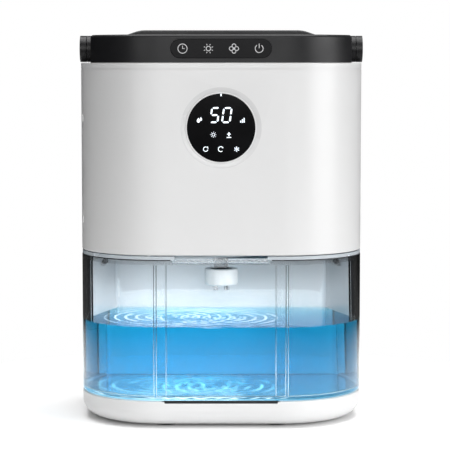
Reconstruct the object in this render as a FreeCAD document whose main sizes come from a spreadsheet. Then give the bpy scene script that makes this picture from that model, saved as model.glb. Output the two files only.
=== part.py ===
import FreeCAD, Part
import Sketcher
import math
import os
import re

# Compact dehumidifier: a D-shaped white column on a base, with a clear pull-out water
# tank between base and body, a black top cover and a folding carry handle.
# +Z is up and the front faces -Y. The origin is on the floor under the middle.

SIZES = {
    # overall
    "body_width": 223, "body_depth": 150, "front_radius": 65, "rear_radius": 25,
    "wall": 2.5, "foot_height": 2, "base_height": 19.5, "bay_height": 113.5,
    "housing_height": 148, "cover_height": 21.3,
    # base
    "base_round": 13, "base_side": 5, "foot_radius": 9, "pull_slot_half": 44,
    "pull_slot_depth": 1.5,
    # rear column: cheeks, and the screws through them and through the corner posts
    "skin": 2.2, "cheek_wall": 2, "cheek_front_in": 4.5, "cheek_rear_in": 22,
    "cheek_behind": 5, "bay_behind": 25, "cheek_radius": 8, "screw_behind": 26,
    "screw_high": 15, "screw_low": 8, "screw_radius": 1.5, "head_radius": 2.7,
    "head_height": 2, "sink_radius": 3.25, "sink_depth": 9, "boss_wall": 2.5, "bite": 7.8,
    "post_in": 21.5, "post_ahead": 9, "post_size": 7.5, "drilling": 12,
    # power inlet
    "inlet_across": 45, "inlet_up": 20, "inlet_radius": 5.9, "plug_radius": 2.8,
    # tank, seal and lid
    "slide_gap": 0.6, "side_round": 1.5, "tank_wall": 2.6, "tank_floor": 2.6,
    "seal_height": 0.8, "seal_width": 2, "lid_height": 2.6, "lid_lip": 4, "lip_gap": 0.3,
    "lip_wall": 1, "scoop_half": 37.5, "scoop_depth": 13, "scoop_drop": 3.2,
    "scoop_wall": 1.6, "drip_ahead": 23.5, "drip_radius": 9, "pour_in": 37.5,
    "pour_ahead": 60, "pour_radius": 11,
    "rib_in": 60.5, "rib_radius": 1.2, "crease_in": 69, "crease_radius": 0.5, "edge_seal": 4,
    # float
    "float_radius": 13.25, "float_height": 13, "float_travel": 10, "post_radius": 5.8,
    "post_wall": 1.8, "float_gap": 0.4, "collar_radius": 15, "collar_height": 3,
    "hook_height": 4, "hook_reach": 1.3, "magnet_radius": 9.2, "magnet_height": 4,
    # display
    "display_below": 49.8, "glass_radius": 26.2, "ring_width": 1, "dish_width": 4.8,
    "dish_depth": 0.7, "glass_height": 1.5, "glass_seat": 1.7, "pad_width": 6.8,
    "shield_depth": 6,
    # top cover, touch strip and outlet
    "cover_ledge": 10, "cover_rear": 19, "cover_wall": 2.2, "cover_round": 2.4,
    "strip_clear": 8, "strip_high": 14.5, "strip_thick": 1.2, "outlet_margin": 2,
    "grille_height": 2.4, "ring_pitch": 5, "ring_bar": 1.8, "recess_width": 84,
    "recess_front": 37,
    # handle
    "pivot_behind": 65, "pivot_below": 10.5, "pivot_radius": 10.4, "boss_thick": 5,
    "boss_gap": 0.5, "arm_thick": 5, "arm_high": 14, "bar_depth": 14, "bar_rise": 5.7,
    "pin_radius": 3, "run_fit": 0.05, "cap_thick": 0.9, "crest_in": 44, "crest_run": 27,
    # intake
    "window_half": 66, "window_low": 19, "window_below": 17, "window_round": 6,
    "panel_gap": 0.4, "slot_high": 4, "slot_pitch": 7, "slot_half": 56, "frame_width": 6,
    "frame_thick": 3.4, "mesh_thick": 0.8,
    # fan and duct
    "fan_side": 92, "fan_height": 25, "fan_bore": 44.5, "fan_below": 33, "hub_radius": 18,
    "fan_screw_half": 41, "duct_half": 52, "duct_wall": 2, "duct_low": 21, "duct_behind": 23,
    # cooling stack, from the hot fins at the front to the cold ones at the back
    "cell_side": 40, "cell_thick": 3.8, "cell_ahead": 48, "hot_half": 40, "hot_margin": 8,
    "hot_base": 5, "hot_clear": 17, "cold_half": 30, "cold_margin": 24, "cold_base": 4,
    "cold_fin": 22, "fin_thick": 1.5, "fin_pitch": 7, "gasket_half": 32, "gasket_share": 0.34,
    "clamp_half": 24.5,
    "tray_half": 34, "tray_low": 9, "tray_high": 11, "tray_wall": 1.5, "nozzle_radius": 5,
    # main board, upright on the left
    "board_thick": 1.6, "board_in": 21.5, "board_low": 18, "board_below": 38,
    "board_behind": 44, "board_ahead": 29, "board_edge": 6, "board_screw": 1.2,
}

doc = FreeCAD.newDocument("dehumidifier")
sheet = doc.addObject("Spreadsheet::Sheet", "dims")
for row, (alias, size) in enumerate(SIZES.items(), 1):
    sheet.set(f"A{row}", alias)
    sheet.set(f"B{row}", str(size))
    sheet.setAlias(f"B{row}", alias)
doc.recompute()

ALIASES = re.compile(r"\b(" + "|".join(SIZES) + r")\b")


def bound(text):
    """The expression text with each size's name pointing at its cell."""
    return ALIASES.sub(r"dims.\1", str(text))


def value(text):
    """The expression's present value, in millimetres."""
    return float(sheet.evalExpression(bound(text)))


# Places that several pieces share, as expressions of the sizes above.
HALF = "(body_width / 2)"
FRONT = "(-body_depth / 2)"
REAR = "(body_depth / 2)"
BASE_TOP = "(foot_height + base_height)"
BODY_LOW = f"({BASE_TOP} + bay_height)"
BODY_TOP = f"({BODY_LOW} + housing_height)"
COVER_TOP = f"({BODY_TOP} + cover_height)"
TANK_LOW = f"({BASE_TOP} + slide_gap)"
LID_TOP = f"({BODY_LOW} - slide_gap)"
LID_LOW = f"({LID_TOP} - lid_height)"
TANK_TOP = f"({LID_LOW} - seal_height)"
MIDDLE = f"({FRONT} + pivot_behind)"
CHEEK_START = f"({FRONT} + front_radius + cheek_behind)"
BAY_BACK = f"({REAR} - bay_behind)"
CHEEK_SLOPE = f"((cheek_rear_in - cheek_front_in) / ({BAY_BACK} - {CHEEK_START}))"
SCREW_ACROSS = f"({HALF} - cheek_front_in - screw_behind * {CHEEK_SLOPE})"
SCREW_MOUTH = f"({CHEEK_START} + screw_behind)"
SCREW_SEAT = f"({SCREW_MOUTH} + sink_depth)"
CHEEK_LEAN = f"sqrt(1 + {CHEEK_SLOPE} * {CHEEK_SLOPE})"
BOSS_FACE = (f"({SCREW_MOUTH} + (screw_radius + boss_wall + 0.19 + cheek_wall * {CHEEK_LEAN})"
             f" / {CHEEK_SLOPE})")
POST_ACROSS = f"({HALF} - post_in)"
POST_BACK = f"({REAR} - post_ahead)"
INLET = ("inlet_across", f"{BASE_TOP} + inlet_up")
PIVOT = f"({COVER_TOP} - pivot_below)"
COVER_HALF = f"({HALF} - cover_ledge)"
COVER_BACK = f"({REAR} - cover_rear)"
HANDLE_HALF = f"({COVER_HALF} + boss_thick + boss_gap + arm_thick)"
DISPLAY = f"({BODY_TOP} - display_below)"
DISPLAY_BORE = "(glass_radius - glass_seat)"
GLASS_BACK = f"({FRONT} + dish_depth + glass_height)"
STRIP_MID = f"({PIVOT} - 0.3)"
STRIP_HALF = f"({HALF} - front_radius - strip_clear)"
RECESS_FRONT = f"({REAR} - recess_front)"
OUTLET_RADIUS = f"({RECESS_FRONT} - {MIDDLE} - outlet_margin)"
WINDOW_LOW = f"({BODY_LOW} + window_low)"
WINDOW_TOP = f"({BODY_TOP} - window_below)"
DRIP = f"({BAY_BACK} - drip_ahead)"
FLOAT_TOP = f"({LID_LOW} - collar_height - float_travel - float_gap)"
FLOAT_LOW = f"({FLOAT_TOP} - float_height)"
POST_LOW = f"({FLOAT_LOW} - float_gap - hook_height)"
FAN_LOW = f"({BODY_TOP} - fan_below)"
DUCT_LOW = f"({BODY_LOW} + duct_low)"
DUCT_FRONT = f"({FRONT} + duct_behind)"
CELL = f"({REAR} - cell_ahead)"
COLD_FACE = f"({CELL} + cell_thick + cold_base)"
SINK_MID = f"(({DUCT_LOW} + {FAN_LOW}) / 2 + 1)"
BOARD = f"(-{HALF} + board_in)"
BOARD_LOW, BOARD_TOP = f"({BODY_LOW} + board_low)", f"({BODY_TOP} - board_below)"
BOARD_FRONT, BOARD_BACK = f"({FRONT} + board_behind)", f"({REAR} - board_ahead)"
BOARD_HOLES = [(y, z) for y in (f"{BOARD_FRONT} + board_edge", f"{BOARD_BACK} - board_edge")
               for z in (f"{BOARD_LOW} + board_edge", f"{BOARD_TOP} - board_edge")]


def new_body(label):
    body = doc.addObject("PartDesign::Body", label)
    body.Label = label
    body.AllowCompound = True
    return body


def constrain(sketch, name, constraint, text):
    """Adds a named dimension to the sketch and binds it to the expression."""
    index = sketch.addConstraint(constraint)
    sketch.renameConstraint(index, name)
    sketch.setExpression(f"Constraints.{name}", bound(text))


def place_point(sketch, name, shape, spot, across, up):
    """Holds a point of the sketch at the two expressions, measured from the origin."""
    for kind, axis, text in (("DistanceX", -2, across), ("DistanceY", -1, up)):
        if abs(value(text)) < 1e-9:
            sketch.addConstraint(Sketcher.Constraint("PointOnObject", shape, spot, axis))
            continue
        dimension = Sketcher.Constraint(kind, -1, 1, shape, spot, value(text))
        constrain(sketch, name + kind[-1], dimension, text)


def draw_circle(sketch, name, across, up, radius):
    centre = FreeCAD.Vector(value(across), value(up), 0)
    circle = Part.Circle(centre, FreeCAD.Vector(0, 0, 1), value(radius))
    shape = sketch.addGeometry(circle, False)
    place_point(sketch, name, shape, 3, across, up)
    dimension = Sketcher.Constraint("Radius", shape, value(radius))
    constrain(sketch, name + "R", dimension, radius)


def short_arc(centre, radius, start, stop):
    """The arc of under half a turn between two points, counter-clockwise."""
    if (start - centre).cross(stop - centre).z < 0:
        start, stop = stop, start
    first, last = (math.atan2(p.y - centre.y, p.x - centre.x) for p in (start, stop))
    last += 2 * math.pi if last < first else 0
    circle = Part.Circle(centre, FreeCAD.Vector(0, 0, 1), radius)
    return Part.ArcOfCircle(circle, first, last)


def draw_outline(sketch, name, corners):
    """Draws a closed outline through corners of (across, up) or (across, up, radius)."""
    spots = [FreeCAD.Vector(value(c[0]), value(c[1]), 0) for c in corners]
    count = len(spots)
    ends = []
    arcs = {}
    for i, corner in enumerate(corners):
        before = (spots[i - 1] - spots[i]).normalize()
        after = (spots[(i + 1) % count] - spots[i]).normalize()
        if len(corner) == 2:
            ends.append((spots[i], spots[i]))
            continue
        radius = value(corner[2])
        half = before.getAngle(after) / 2
        reach = radius / math.tan(half)
        start, stop = spots[i] + before * reach, spots[i] + after * reach
        centre = spots[i] + (before + after).normalize() * (radius / math.sin(half))
        ends.append((start, stop))
        arcs[i] = short_arc(centre, radius, start, stop)
    lines = []
    for i in range(count):
        line = Part.LineSegment(ends[i][1], ends[(i + 1) % count][0])
        lines.append(sketch.addGeometry(line, False))
    for i, corner in enumerate(corners):
        line_in, line_out = lines[i - 1], lines[i]
        if i not in arcs:
            sketch.addConstraint(Sketcher.Constraint("Coincident", line_in, 2, line_out, 1))
            place_point(sketch, f"{name}{i}", line_out, 1, corner[0], corner[1])
            continue
        arc = sketch.addGeometry(arcs[i], False)
        first = (arcs[i].StartPoint - ends[i][0]).Length < 1e-6
        head, tail = (1, 2) if first else (2, 1)
        sketch.addConstraint(Sketcher.Constraint("Tangent", line_in, 2, arc, head))
        sketch.addConstraint(Sketcher.Constraint("Tangent", line_out, 1, arc, tail))
        dimension = Sketcher.Constraint("Radius", arc, value(corner[2]))
        constrain(sketch, f"{name}{i}R", dimension, corner[2])
        point = sketch.addGeometry(Part.Point(spots[i]), True)
        place_point(sketch, f"{name}{i}", point, 1, corner[0], corner[1])
        for line in (line_in, line_out):
            sketch.addConstraint(Sketcher.Constraint("PointOnObject", point, 1, line))


def draw(body, plane, level, loops, name):
    """A sketch on the body's own plane at the level, holding circles and outlines."""
    sketch = body.newObject("Sketcher::SketchObject", name + "_sketch")
    origin = [o for o in body.Origin.OriginFeatures if o.Role == plane + "_Plane"][0]
    sketch.AttachmentSupport = (origin, [""])
    sketch.MapMode = "FlatFace"
    sign = "-1 * " if plane == "XZ" else ""
    sketch.setExpression("AttachmentOffset.Base.z", bound(f"{sign}({level})"))
    for number, loop in enumerate(loops):
        if isinstance(loop, tuple):
            draw_circle(sketch, f"c{number}_", *loop)
        else:
            draw_outline(sketch, f"p{number}_", loop)
    doc.recompute()
    return sketch


def add(body, plane, low, high, loops, name):
    """Pads the loops from low to high along the plane's world axis."""
    sketch = draw(body, plane, low, loops, name)
    feature = body.newObject("PartDesign::Pad", name)
    feature.Profile = sketch
    feature.Reversed = plane == "XZ"
    feature.setExpression("Length", bound(f"({high}) - ({low})"))
    doc.recompute()
    return feature


def cut(body, plane, low, high, loops, name):
    """Pockets the loops from low to high along the plane's world axis."""
    before = body.Shape.Volume
    sketch = draw(body, plane, low, loops, name)
    feature = body.newObject("PartDesign::Pocket", name)
    feature.Profile = sketch
    feature.Reversed = plane != "XZ"
    feature.setExpression("Length", bound(f"({high}) - ({low})"))
    doc.recompute()
    if body.Shape.Volume > before - 1e-3:
        raise RuntimeError(f"{body.Label}: {name} cuts nothing")
    return feature


def soften(body, radius, wanted, name):
    """Fillets the edges that the test picks from the body's present shape."""
    tip = body.Tip
    edges = [f"Edge{i}" for i, e in enumerate(tip.Shape.Edges, 1) if wanted(e)]
    if not edges:
        raise RuntimeError(f"{body.Label}: {name} finds no edge")
    feature = body.newObject("PartDesign::Fillet", name)
    feature.Base = (tip, edges)
    feature.setExpression("Radius", bound(radius))
    doc.recompute()
    return feature


def repeat(body, feature, axis, pitch, count):
    """Repeats a feature along one of the body's own axes, a pitch apart."""
    pattern = body.newObject("PartDesign::LinearPattern", feature.Name + "_row")
    pattern.Originals = [feature]
    line = [o for o in body.Origin.OriginFeatures if o.Role == axis + "_Axis"][0]
    pattern.Direction = (line, [""])
    pattern.Occurrences = count
    pattern.setExpression("Length", bound(f"({pitch}) * {count - 1}"))
    body.Tip = pattern
    doc.recompute()


def box(half_x, low, high, radius=None):
    """Corners of a rectangle centred across, with round corners if a radius is given."""
    corners = [(f"-({half_x})", low), (half_x, low), (half_x, high), (f"-({half_x})", high)]
    return [c + (radius,) for c in corners] if radius else corners


def slab(left, right, low, high, radius=None):
    corners = [(left, low), (right, low), (right, high), (left, high)]
    return [c + (radius,) for c in corners] if radius else corners


def dee(inset="0"):
    """The body's plan: flat front with wide round corners, tighter ones at the back."""
    side, front, back = f"{HALF} - ({inset})", f"{FRONT} + {inset}", f"{REAR} - ({inset})"
    wide, tight = f"front_radius - ({inset})", f"rear_radius - ({inset})"
    return [(f"-({side})", front, wide), (side, front, wide),
            (side, back, tight), (f"-({side})", back, tight)]


def at_height(edge, level):
    box = edge.BoundBox
    return abs(box.ZMin - level) < 1e-3 and abs(box.ZMax - level) < 1e-3


def on_rim(edge, level, margin=1.0):
    """An edge at the level that lies on the body's outer D outline."""
    if not at_height(edge, level):
        return False
    spot = edge.valueAt((edge.FirstParameter + edge.LastParameter) / 2)
    half, front, radius = value(HALF), value(FRONT), value("front_radius")
    if abs(spot.x) > half - margin or abs(spot.y) > value(REAR) - margin:
        return True
    back = value(REAR) - value("rear_radius")
    tight = value("rear_radius")
    for y, r, ahead in ((front + radius, radius, -1), (back, tight, 1)):
        centre = FreeCAD.Vector(math.copysign(half - r, spot.x), y, spot.z)
        beyond = abs(spot.x) > half - r and (spot.y - y) * ahead > 0
        if beyond and abs((spot - centre).Length - r) < margin:
            return True
    return False


def mirrored_circles(out, up, radius):
    return [(f"-({out})", up, radius), (out, up, radius)]


def across(side, near, far):
    """The two distances from the middle on the given side, the lower first."""
    return sorted((f"{side} * ({near})", f"{side} * ({far})"), key=value)


# ---- base ----

def base_shell():
    body = new_body("base_shell")
    add(body, "XY", "foot_height", BASE_TOP, [dee()], "block")
    soften(body, "base_round", lambda e: on_rim(e, value("foot_height")), "rolled_edge")
    soften(body, "0.8", lambda e: on_rim(e, value(BASE_TOP)), "top_edge")
    cut(body, "XY", "foot_height - 1", "foot_height + base_height / 2",
        [dee("base_round + 1")], "mouth")
    cut(body, "XY", "foot_height + base_height / 2 - 0.01", f"{BASE_TOP} - wall",
        [dee("base_side")], "hollow")
    slot = [("-pull_slot_half", f"{BASE_TOP} - pull_slot_depth", "0.8"),
            ("pull_slot_half", f"{BASE_TOP} - pull_slot_depth", "0.8"),
            ("pull_slot_half", f"{BASE_TOP} + 2"), ("-pull_slot_half", f"{BASE_TOP} + 2")]
    cut(body, "XZ", f"{FRONT} - 1", f"{FRONT} + 5", [slot], "pull_slot")
    cut(body, "XY", f"{BASE_TOP} - wall - 1", f"{BASE_TOP} + 1",
        mirrored_circles(POST_ACROSS, POST_BACK, "screw_radius + 0.2"), "screw_holes")


def base_plate():
    body = new_body("base_plate")
    add(body, "XY", "foot_height", "foot_height + wall", [dee("base_round + 1.3")], "plate")


def rubber_feet():
    body = new_body("rubber_feet")
    feet = [(f"{side} * ({HALF} - {inset})", y, "foot_radius") for side in (-1, 1)
            for inset, y in ((68.5, f"{FRONT} + 25"), (31.5, f"{REAR} - 28"))]
    add(body, "XY", "0", "foot_height", feet, "pads")
    soften(body, "0.6", lambda e: at_height(e, 0), "soft_edge")


def base_screws():
    body = new_body("base_screws")
    under = f"{BASE_TOP} - wall"
    add(body, "XY", f"{under} - head_height", under,
        mirrored_circles(POST_ACROSS, POST_BACK, "head_radius"), "heads")
    add(body, "XY", f"{under} - 0.1", f"{BASE_TOP} + drilling",
        mirrored_circles(POST_ACROSS, POST_BACK, "screw_radius"), "shanks")


# ---- rear column ----

def cheek_line(shift, start, back):
    """The bay's rear line, moved outwards: front corner and rear corner on the right."""
    across = f"{HALF} - cheek_front_in + ({shift}) * {CHEEK_LEAN}"
    front = (f"{across} - ({start} - {CHEEK_START}) * {CHEEK_SLOPE}", start)
    rear = (f"{across} - ({back} - {CHEEK_START}) * {CHEEK_SLOPE}", back)
    return front, rear


def cheek_screws(radius):
    """A circle for each of the four screws through the cheeks."""
    return [(f"{side} * {SCREW_ACROSS}", z, radius) for side in (-1, 1)
            for z in (f"{BODY_LOW} - screw_high", f"{BASE_TOP} + screw_low")]


def spine_front():
    body = new_body("spine_front")
    front, rear = cheek_line("0", CHEEK_START, BAY_BACK)
    out_front, out_rear = cheek_line("cheek_wall", CHEEK_START, f"{BAY_BACK} + cheek_wall")
    inner, outer = "cheek_radius", "cheek_radius + cheek_wall"
    sheet_line = [(f"-({front[0]})", front[1]), (f"-({rear[0]})", rear[1], inner),
                  (rear[0], rear[1], inner), front,
                  out_front, (out_rear[0], out_rear[1], outer),
                  (f"-({out_rear[0]})", out_rear[1], outer),
                  (f"-({out_front[0]})", out_front[1])]
    add(body, "XY", BASE_TOP, BODY_LOW, [sheet_line], "panel")
    add(body, "XZ", f"{SCREW_MOUTH} - 8", f"{BOSS_FACE} - 0.2",
        cheek_screws("sink_radius + 2"), "bosses")
    bay = [(f"-({front[0]})", front[1]), (f"-({rear[0]})", rear[1], inner),
           (rear[0], rear[1], inner), front, (front[0], f"{FRONT} - 5"),
           (f"-({front[0]})", f"{FRONT} - 5")]
    cut(body, "XY", f"{BASE_TOP} - 1", f"{BODY_LOW} + 1", [bay], "bay")
    cut(body, "XZ", f"{SCREW_MOUTH} - 20", SCREW_SEAT, cheek_screws("sink_radius"),
        "counterbores")
    cut(body, "XZ", f"{SCREW_SEAT} - 1", f"{BOSS_FACE} + 1",
        cheek_screws("screw_radius + 0.2"), "screw_holes")


def spine_screws():
    body = new_body("spine_screws")
    face = f"{SCREW_SEAT} - head_height"
    add(body, "XZ", face, SCREW_SEAT, cheek_screws("head_radius"), "heads")
    add(body, "XZ", f"{SCREW_SEAT} - 0.1", f"{BOSS_FACE} + bite",
        cheek_screws("screw_radius"), "shanks")
    soften(body, "0.7", lambda e: abs(e.BoundBox.YMax - value(face)) < 1e-3, "domed_heads")
    slots = [slab(f"{x} - 0.4", f"{x} + 0.4", f"{z} - 1.5", f"{z} + 1.5")
             for x, z, _ in cheek_screws("0")]
    cut(body, "XZ", f"{face} - 1", f"{SCREW_SEAT} - head_height / 2", slots, "driver_slots")


def spine_back():
    body = new_body("spine_back")
    inside = f"{HALF} - skin"
    skin_line = [(f"-{HALF}", CHEEK_START), (f"-({inside})", CHEEK_START),
                 (f"-({inside})", f"{REAR} - skin", "rear_radius - skin"),
                 (inside, f"{REAR} - skin", "rear_radius - skin"),
                 (inside, CHEEK_START), (HALF, CHEEK_START),
                 (HALF, REAR, "rear_radius"), (f"-{HALF}", REAR, "rear_radius")]
    add(body, "XY", BASE_TOP, BODY_LOW, [skin_line], "skin")
    add(body, "XY", BASE_TOP, BODY_LOW, mirrored_circles(POST_ACROSS, POST_BACK, "post_size"),
        "posts")
    add(body, "XZ", BOSS_FACE, f"{REAR} - skin - 4",
        cheek_screws("screw_radius + boss_wall"), "screw_bosses")
    cut(body, "XZ", f"{BOSS_FACE} - 1", f"{BOSS_FACE} + bite + 3",
        cheek_screws("screw_radius"), "boss_holes")
    for low, high, name in ((f"{BASE_TOP} - 1", f"{BASE_TOP} + drilling", "foot_holes"),
                            (f"{BODY_LOW} - drilling", f"{BODY_LOW} + 1", "head_holes")):
        cut(body, "XY", low, high, mirrored_circles(POST_ACROSS, POST_BACK, "screw_radius"),
            name)
    cut(body, "XZ", f"{REAR} - 4", f"{REAR} + 1", [INLET + ("inlet_radius + 0.1",)],
        "inlet_hole")


def dc_inlet():
    body = new_body("dc_inlet")
    add(body, "XZ", f"{REAR} - 14", f"{REAR} - 0.4", [INLET + ("inlet_radius",)], "barrel")
    add(body, "XZ", f"{REAR} - skin - 1.6", f"{REAR} - skin", [INLET + ("inlet_radius + 2",)],
        "flange")
    cut(body, "XZ", f"{REAR} - 10", f"{REAR} + 1", [INLET + ("plug_radius",)], "socket")
    add(body, "XZ", f"{REAR} - 11", f"{REAR} - 1.2", [INLET + ("1",)], "centre_pin")


# ---- upper housing ----

def upper_housing():
    body = new_body("upper_housing")
    add(body, "XY", BODY_LOW, BODY_TOP, [dee()], "block")
    soften(body, "1.1", lambda e: on_rim(e, value(BODY_TOP)), "top_edge")
    soften(body, "1.1", lambda e: on_rim(e, value(BODY_LOW)), "bottom_edge")
    cut(body, "XY", f"{BODY_TOP} - 5.3", f"{BODY_TOP} - 4.8",
        [dee("-1"), dee("0.45")], "seam_line")
    cut(body, "XY", f"{BODY_LOW} + wall", f"{BODY_TOP} - wall", [dee("wall")], "hollow")
    inner = f"{COVER_HALF} - cover_wall - 3.5"
    mouth = [(f"-({inner})", f"{FRONT} + 7", "front_radius - 12"),
             (inner, f"{FRONT} + 7", "front_radius - 12"),
             (inner, f"{RECESS_FRONT} - 5", "8"), (f"-({inner})", f"{RECESS_FRONT} - 5", "8")]
    cut(body, "XY", f"{BODY_TOP} - wall - 1", f"{BODY_TOP} + 1", [mouth], "top_mouth")
    cut(body, "XY", f"{BODY_LOW} - 1", f"{BODY_LOW} + wall + 1",
        [("0", DRIP, "nozzle_radius + 0.3"),
         slab("-60", "60", f"{BAY_BACK} + 6", f"{REAR} - 7", "4")]
        + mirrored_circles(POST_ACROSS, POST_BACK, "screw_radius + 0.2"), "floor_holes")
    window = box("window_half", WINDOW_LOW, WINDOW_TOP, "window_round")
    cut(body, "XZ", f"{REAR} - wall - 1", f"{REAR} + 1", [window], "intake_window")
    add(body, "XZ", f"{FRONT} + 1.5", f"{FRONT} + wall + 3",
        [("0", DISPLAY, "glass_radius + pad_width")], "display_pad")
    cut(body, "XZ", f"{FRONT} - 1", f"{FRONT} + wall + 4",
        [("0", DISPLAY, DISPLAY_BORE)], "display_bore")
    cut(body, "XZ", f"{FRONT} - 1", GLASS_BACK,
        [("0", DISPLAY, "glass_radius + ring_width")], "lens_seat")
    dish(body)
    for y, z in BOARD_HOLES:
        add(body, "YZ", f"-({HALF} - wall + 0.5)", f"{BOARD} - board_thick",
            [(y, z, "board_screw + 2.3")], "board_post")
        cut(body, "YZ", f"{BOARD} - board_thick - 8", BOARD, [(y, z, "board_screw")],
            "board_hole")


def dish(body):
    """A shallow cone around the display, from the flat front down to the glass ring."""
    sketch = draw(body, "YZ", "0", [[
        (FRONT, f"{DISPLAY} + glass_radius"), (f"{FRONT} - 1", f"{DISPLAY} + glass_radius"),
        (f"{FRONT} - 1", f"{DISPLAY} + glass_radius + dish_width"),
        (FRONT, f"{DISPLAY} + glass_radius + dish_width"),
        (f"{FRONT} + dish_depth", f"{DISPLAY} + glass_radius + ring_width"),
        (f"{FRONT} + dish_depth", f"{DISPLAY} + glass_radius")]], "dish")
    line = Part.LineSegment(FreeCAD.Vector(value(FRONT) - 20, value(DISPLAY), 0),
                            FreeCAD.Vector(value(FRONT) + 20, value(DISPLAY), 0))
    axis = sketch.addGeometry(line, True)
    sketch.addConstraint(Sketcher.Constraint("Horizontal", axis))
    constrain(sketch, "axis_up", Sketcher.Constraint("DistanceY", -1, 1, axis, 1,
                                                     value(DISPLAY)), DISPLAY)
    doc.recompute()
    before = body.Shape.Volume
    groove = body.newObject("PartDesign::Groove", "display_dish")
    groove.Profile = sketch
    groove.ReferenceAxis = (sketch, ["Axis0"])
    groove.Angle = 360
    doc.recompute()
    if body.Shape.Volume > before - 1:
        raise RuntimeError("upper_housing: the display dish cuts nothing")


def housing_screws():
    body = new_body("housing_screws")
    floor = f"{BODY_LOW} + wall"
    add(body, "XY", floor, f"{floor} + head_height",
        mirrored_circles(POST_ACROSS, POST_BACK, "head_radius"), "heads")
    add(body, "XY", f"{BODY_LOW} - drilling", f"{floor} + 0.1",
        mirrored_circles(POST_ACROSS, POST_BACK, "screw_radius"), "shanks")


# ---- display ----

def display_ring():
    body = new_body("display_ring")
    add(body, "XZ", f"{FRONT} + dish_depth * 0.4", GLASS_BACK,
        [("0", DISPLAY, "glass_radius + ring_width"), ("0", DISPLAY, "glass_radius")], "ring")
    soften(body, "0.3", lambda e: e.BoundBox.YMax < value(f"{FRONT} + dish_depth * 0.5"),
           "round_face")


def display_glass():
    body = new_body("display_glass")
    add(body, "XZ", f"{FRONT} + dish_depth", GLASS_BACK, [("0", DISPLAY, "glass_radius")],
        "lens")
    soften(body, "0.4", lambda e: e.BoundBox.YMax < value(f"{FRONT} + dish_depth + 0.1"),
           "polished_edge")


def light_shield():
    body = new_body("light_shield")
    add(body, "XZ", GLASS_BACK, f"{GLASS_BACK} + shield_depth",
        [("0", DISPLAY, f"{DISPLAY_BORE} - 0.2"), ("0", DISPLAY, f"{DISPLAY_BORE} - 2")],
        "tube")


def digit_display():
    body = new_body("digit_display")
    add(body, "XZ", f"{GLASS_BACK} + 0.2", f"{GLASS_BACK} + shield_depth",
        [box("glass_radius * 0.48", f"{DISPLAY} + 0.5", f"{DISPLAY} + glass_radius * 0.66")],
        "block")


def display_board():
    body = new_body("display_board")
    back = f"{GLASS_BACK} + shield_depth"
    add(body, "XZ", back, f"{back} + board_thick", [("0", DISPLAY, f"{DISPLAY_BORE} - 0.2")],
        "disc")
    add(body, "XZ", f"{back} + board_thick", f"{back} + board_thick + 4",
        [box("6", f"{DISPLAY} - 16", f"{DISPLAY} - 10")], "plug_socket")


# ---- top cover ----

def top_cover():
    body = new_body("top_cover")
    add(body, "XY", BODY_TOP, COVER_TOP, [dee()], "block")
    far_x, far_y = f"{HALF} + 20", f"{REAR} + 20"
    around = [(f"-({far_x})", f"{FRONT} - 5"), (f"-{COVER_HALF}", f"{FRONT} - 5"),
              (f"-{COVER_HALF}", COVER_BACK, "9"), (COVER_HALF, COVER_BACK, "9"),
              (COVER_HALF, f"{FRONT} - 5"), (far_x, f"{FRONT} - 5"),
              (far_x, far_y), (f"-({far_x})", far_y)]
    cut(body, "XY", f"{BODY_TOP} - 1", f"{COVER_TOP} + 1", [around], "sides")
    soften(body, "3", lambda e: upright(e) and abs(abs(middle(e).x) - value(COVER_HALF)) < 0.01
           and middle(e).y < value(MIDDLE), "front_corners")
    recess = [("-recess_width / 2", RECESS_FRONT, "6"), ("recess_width / 2", RECESS_FRONT, "6"),
              ("recess_width / 2", f"{REAR} + 5"), ("-recess_width / 2", f"{REAR} + 5")]
    cut(body, "XY", f"{BODY_TOP} - 1", f"{COVER_TOP} + 1", [recess], "finger_recess")
    soften(body, "cover_round", lambda e: at_height(e, value(COVER_TOP)), "top_edge")
    inner = f"{COVER_HALF} - cover_wall"
    roof = f"{COVER_TOP} - cover_wall"
    room = [(f"-({inner})", f"{FRONT} + cover_wall", "front_radius - cover_wall"),
            (inner, f"{FRONT} + cover_wall", "front_radius - cover_wall"),
            (inner, f"{RECESS_FRONT} - cover_wall", "4"),
            (f"-({inner})", f"{RECESS_FRONT} - cover_wall", "4")]
    pockets = [slab(*across(side, "recess_width / 2 + cover_wall", inner),
                    f"{RECESS_FRONT} + 1", f"{COVER_BACK} - cover_wall", "3")
               for side in (-1, 1)]
    cut(body, "XY", f"{BODY_TOP} - 1", roof, [room], "room")
    cut(body, "XY", f"{BODY_TOP} - 1", roof, pockets, "rear_pockets")
    add(body, "XY", BODY_TOP, f"{roof} + 0.5",
        [("0", MIDDLE, f"{OUTLET_RADIUS} + 2"), ("0", MIDDLE, f"{OUTLET_RADIUS} - 0.5")],
        "collar")
    cut(body, "XY", f"{COVER_TOP} - cover_wall - 1", f"{COVER_TOP} + 1",
        [("0", MIDDLE, f"{OUTLET_RADIUS} - 0.5")], "outlet")
    cut(body, "XY", f"{COVER_TOP} - grille_height", f"{COVER_TOP} + 1",
        [("0", MIDDLE, f"{OUTLET_RADIUS} + 1")], "grille_seat")
    for side in (-1, 1):
        ends = across(side, f"{COVER_HALF} - 4", f"{COVER_HALF} + boss_thick")
        add(body, "YZ", ends[0], ends[1], [(MIDDLE, PIVOT, "pivot_radius")], "pivot_boss")
        cut(body, "YZ", f"{ends[0]} - 1", f"{ends[1]} + 1",
            [(MIDDLE, PIVOT, "pin_radius")], "pin_hole")
    strip = stadium(f"{STRIP_HALF} + 0.3", STRIP_MID, "strip_high / 2 + 0.3")
    cut(body, "XZ", f"{FRONT} - 1", f"{FRONT} + strip_thick", [strip], "strip_recess")


def stadium(half, mid, radius):
    """A long pill: a box whose corners are a hair less round than its half height."""
    return box(half, f"{mid} - ({radius})", f"{mid} + {radius}", f"{radius} - 0.05")


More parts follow.
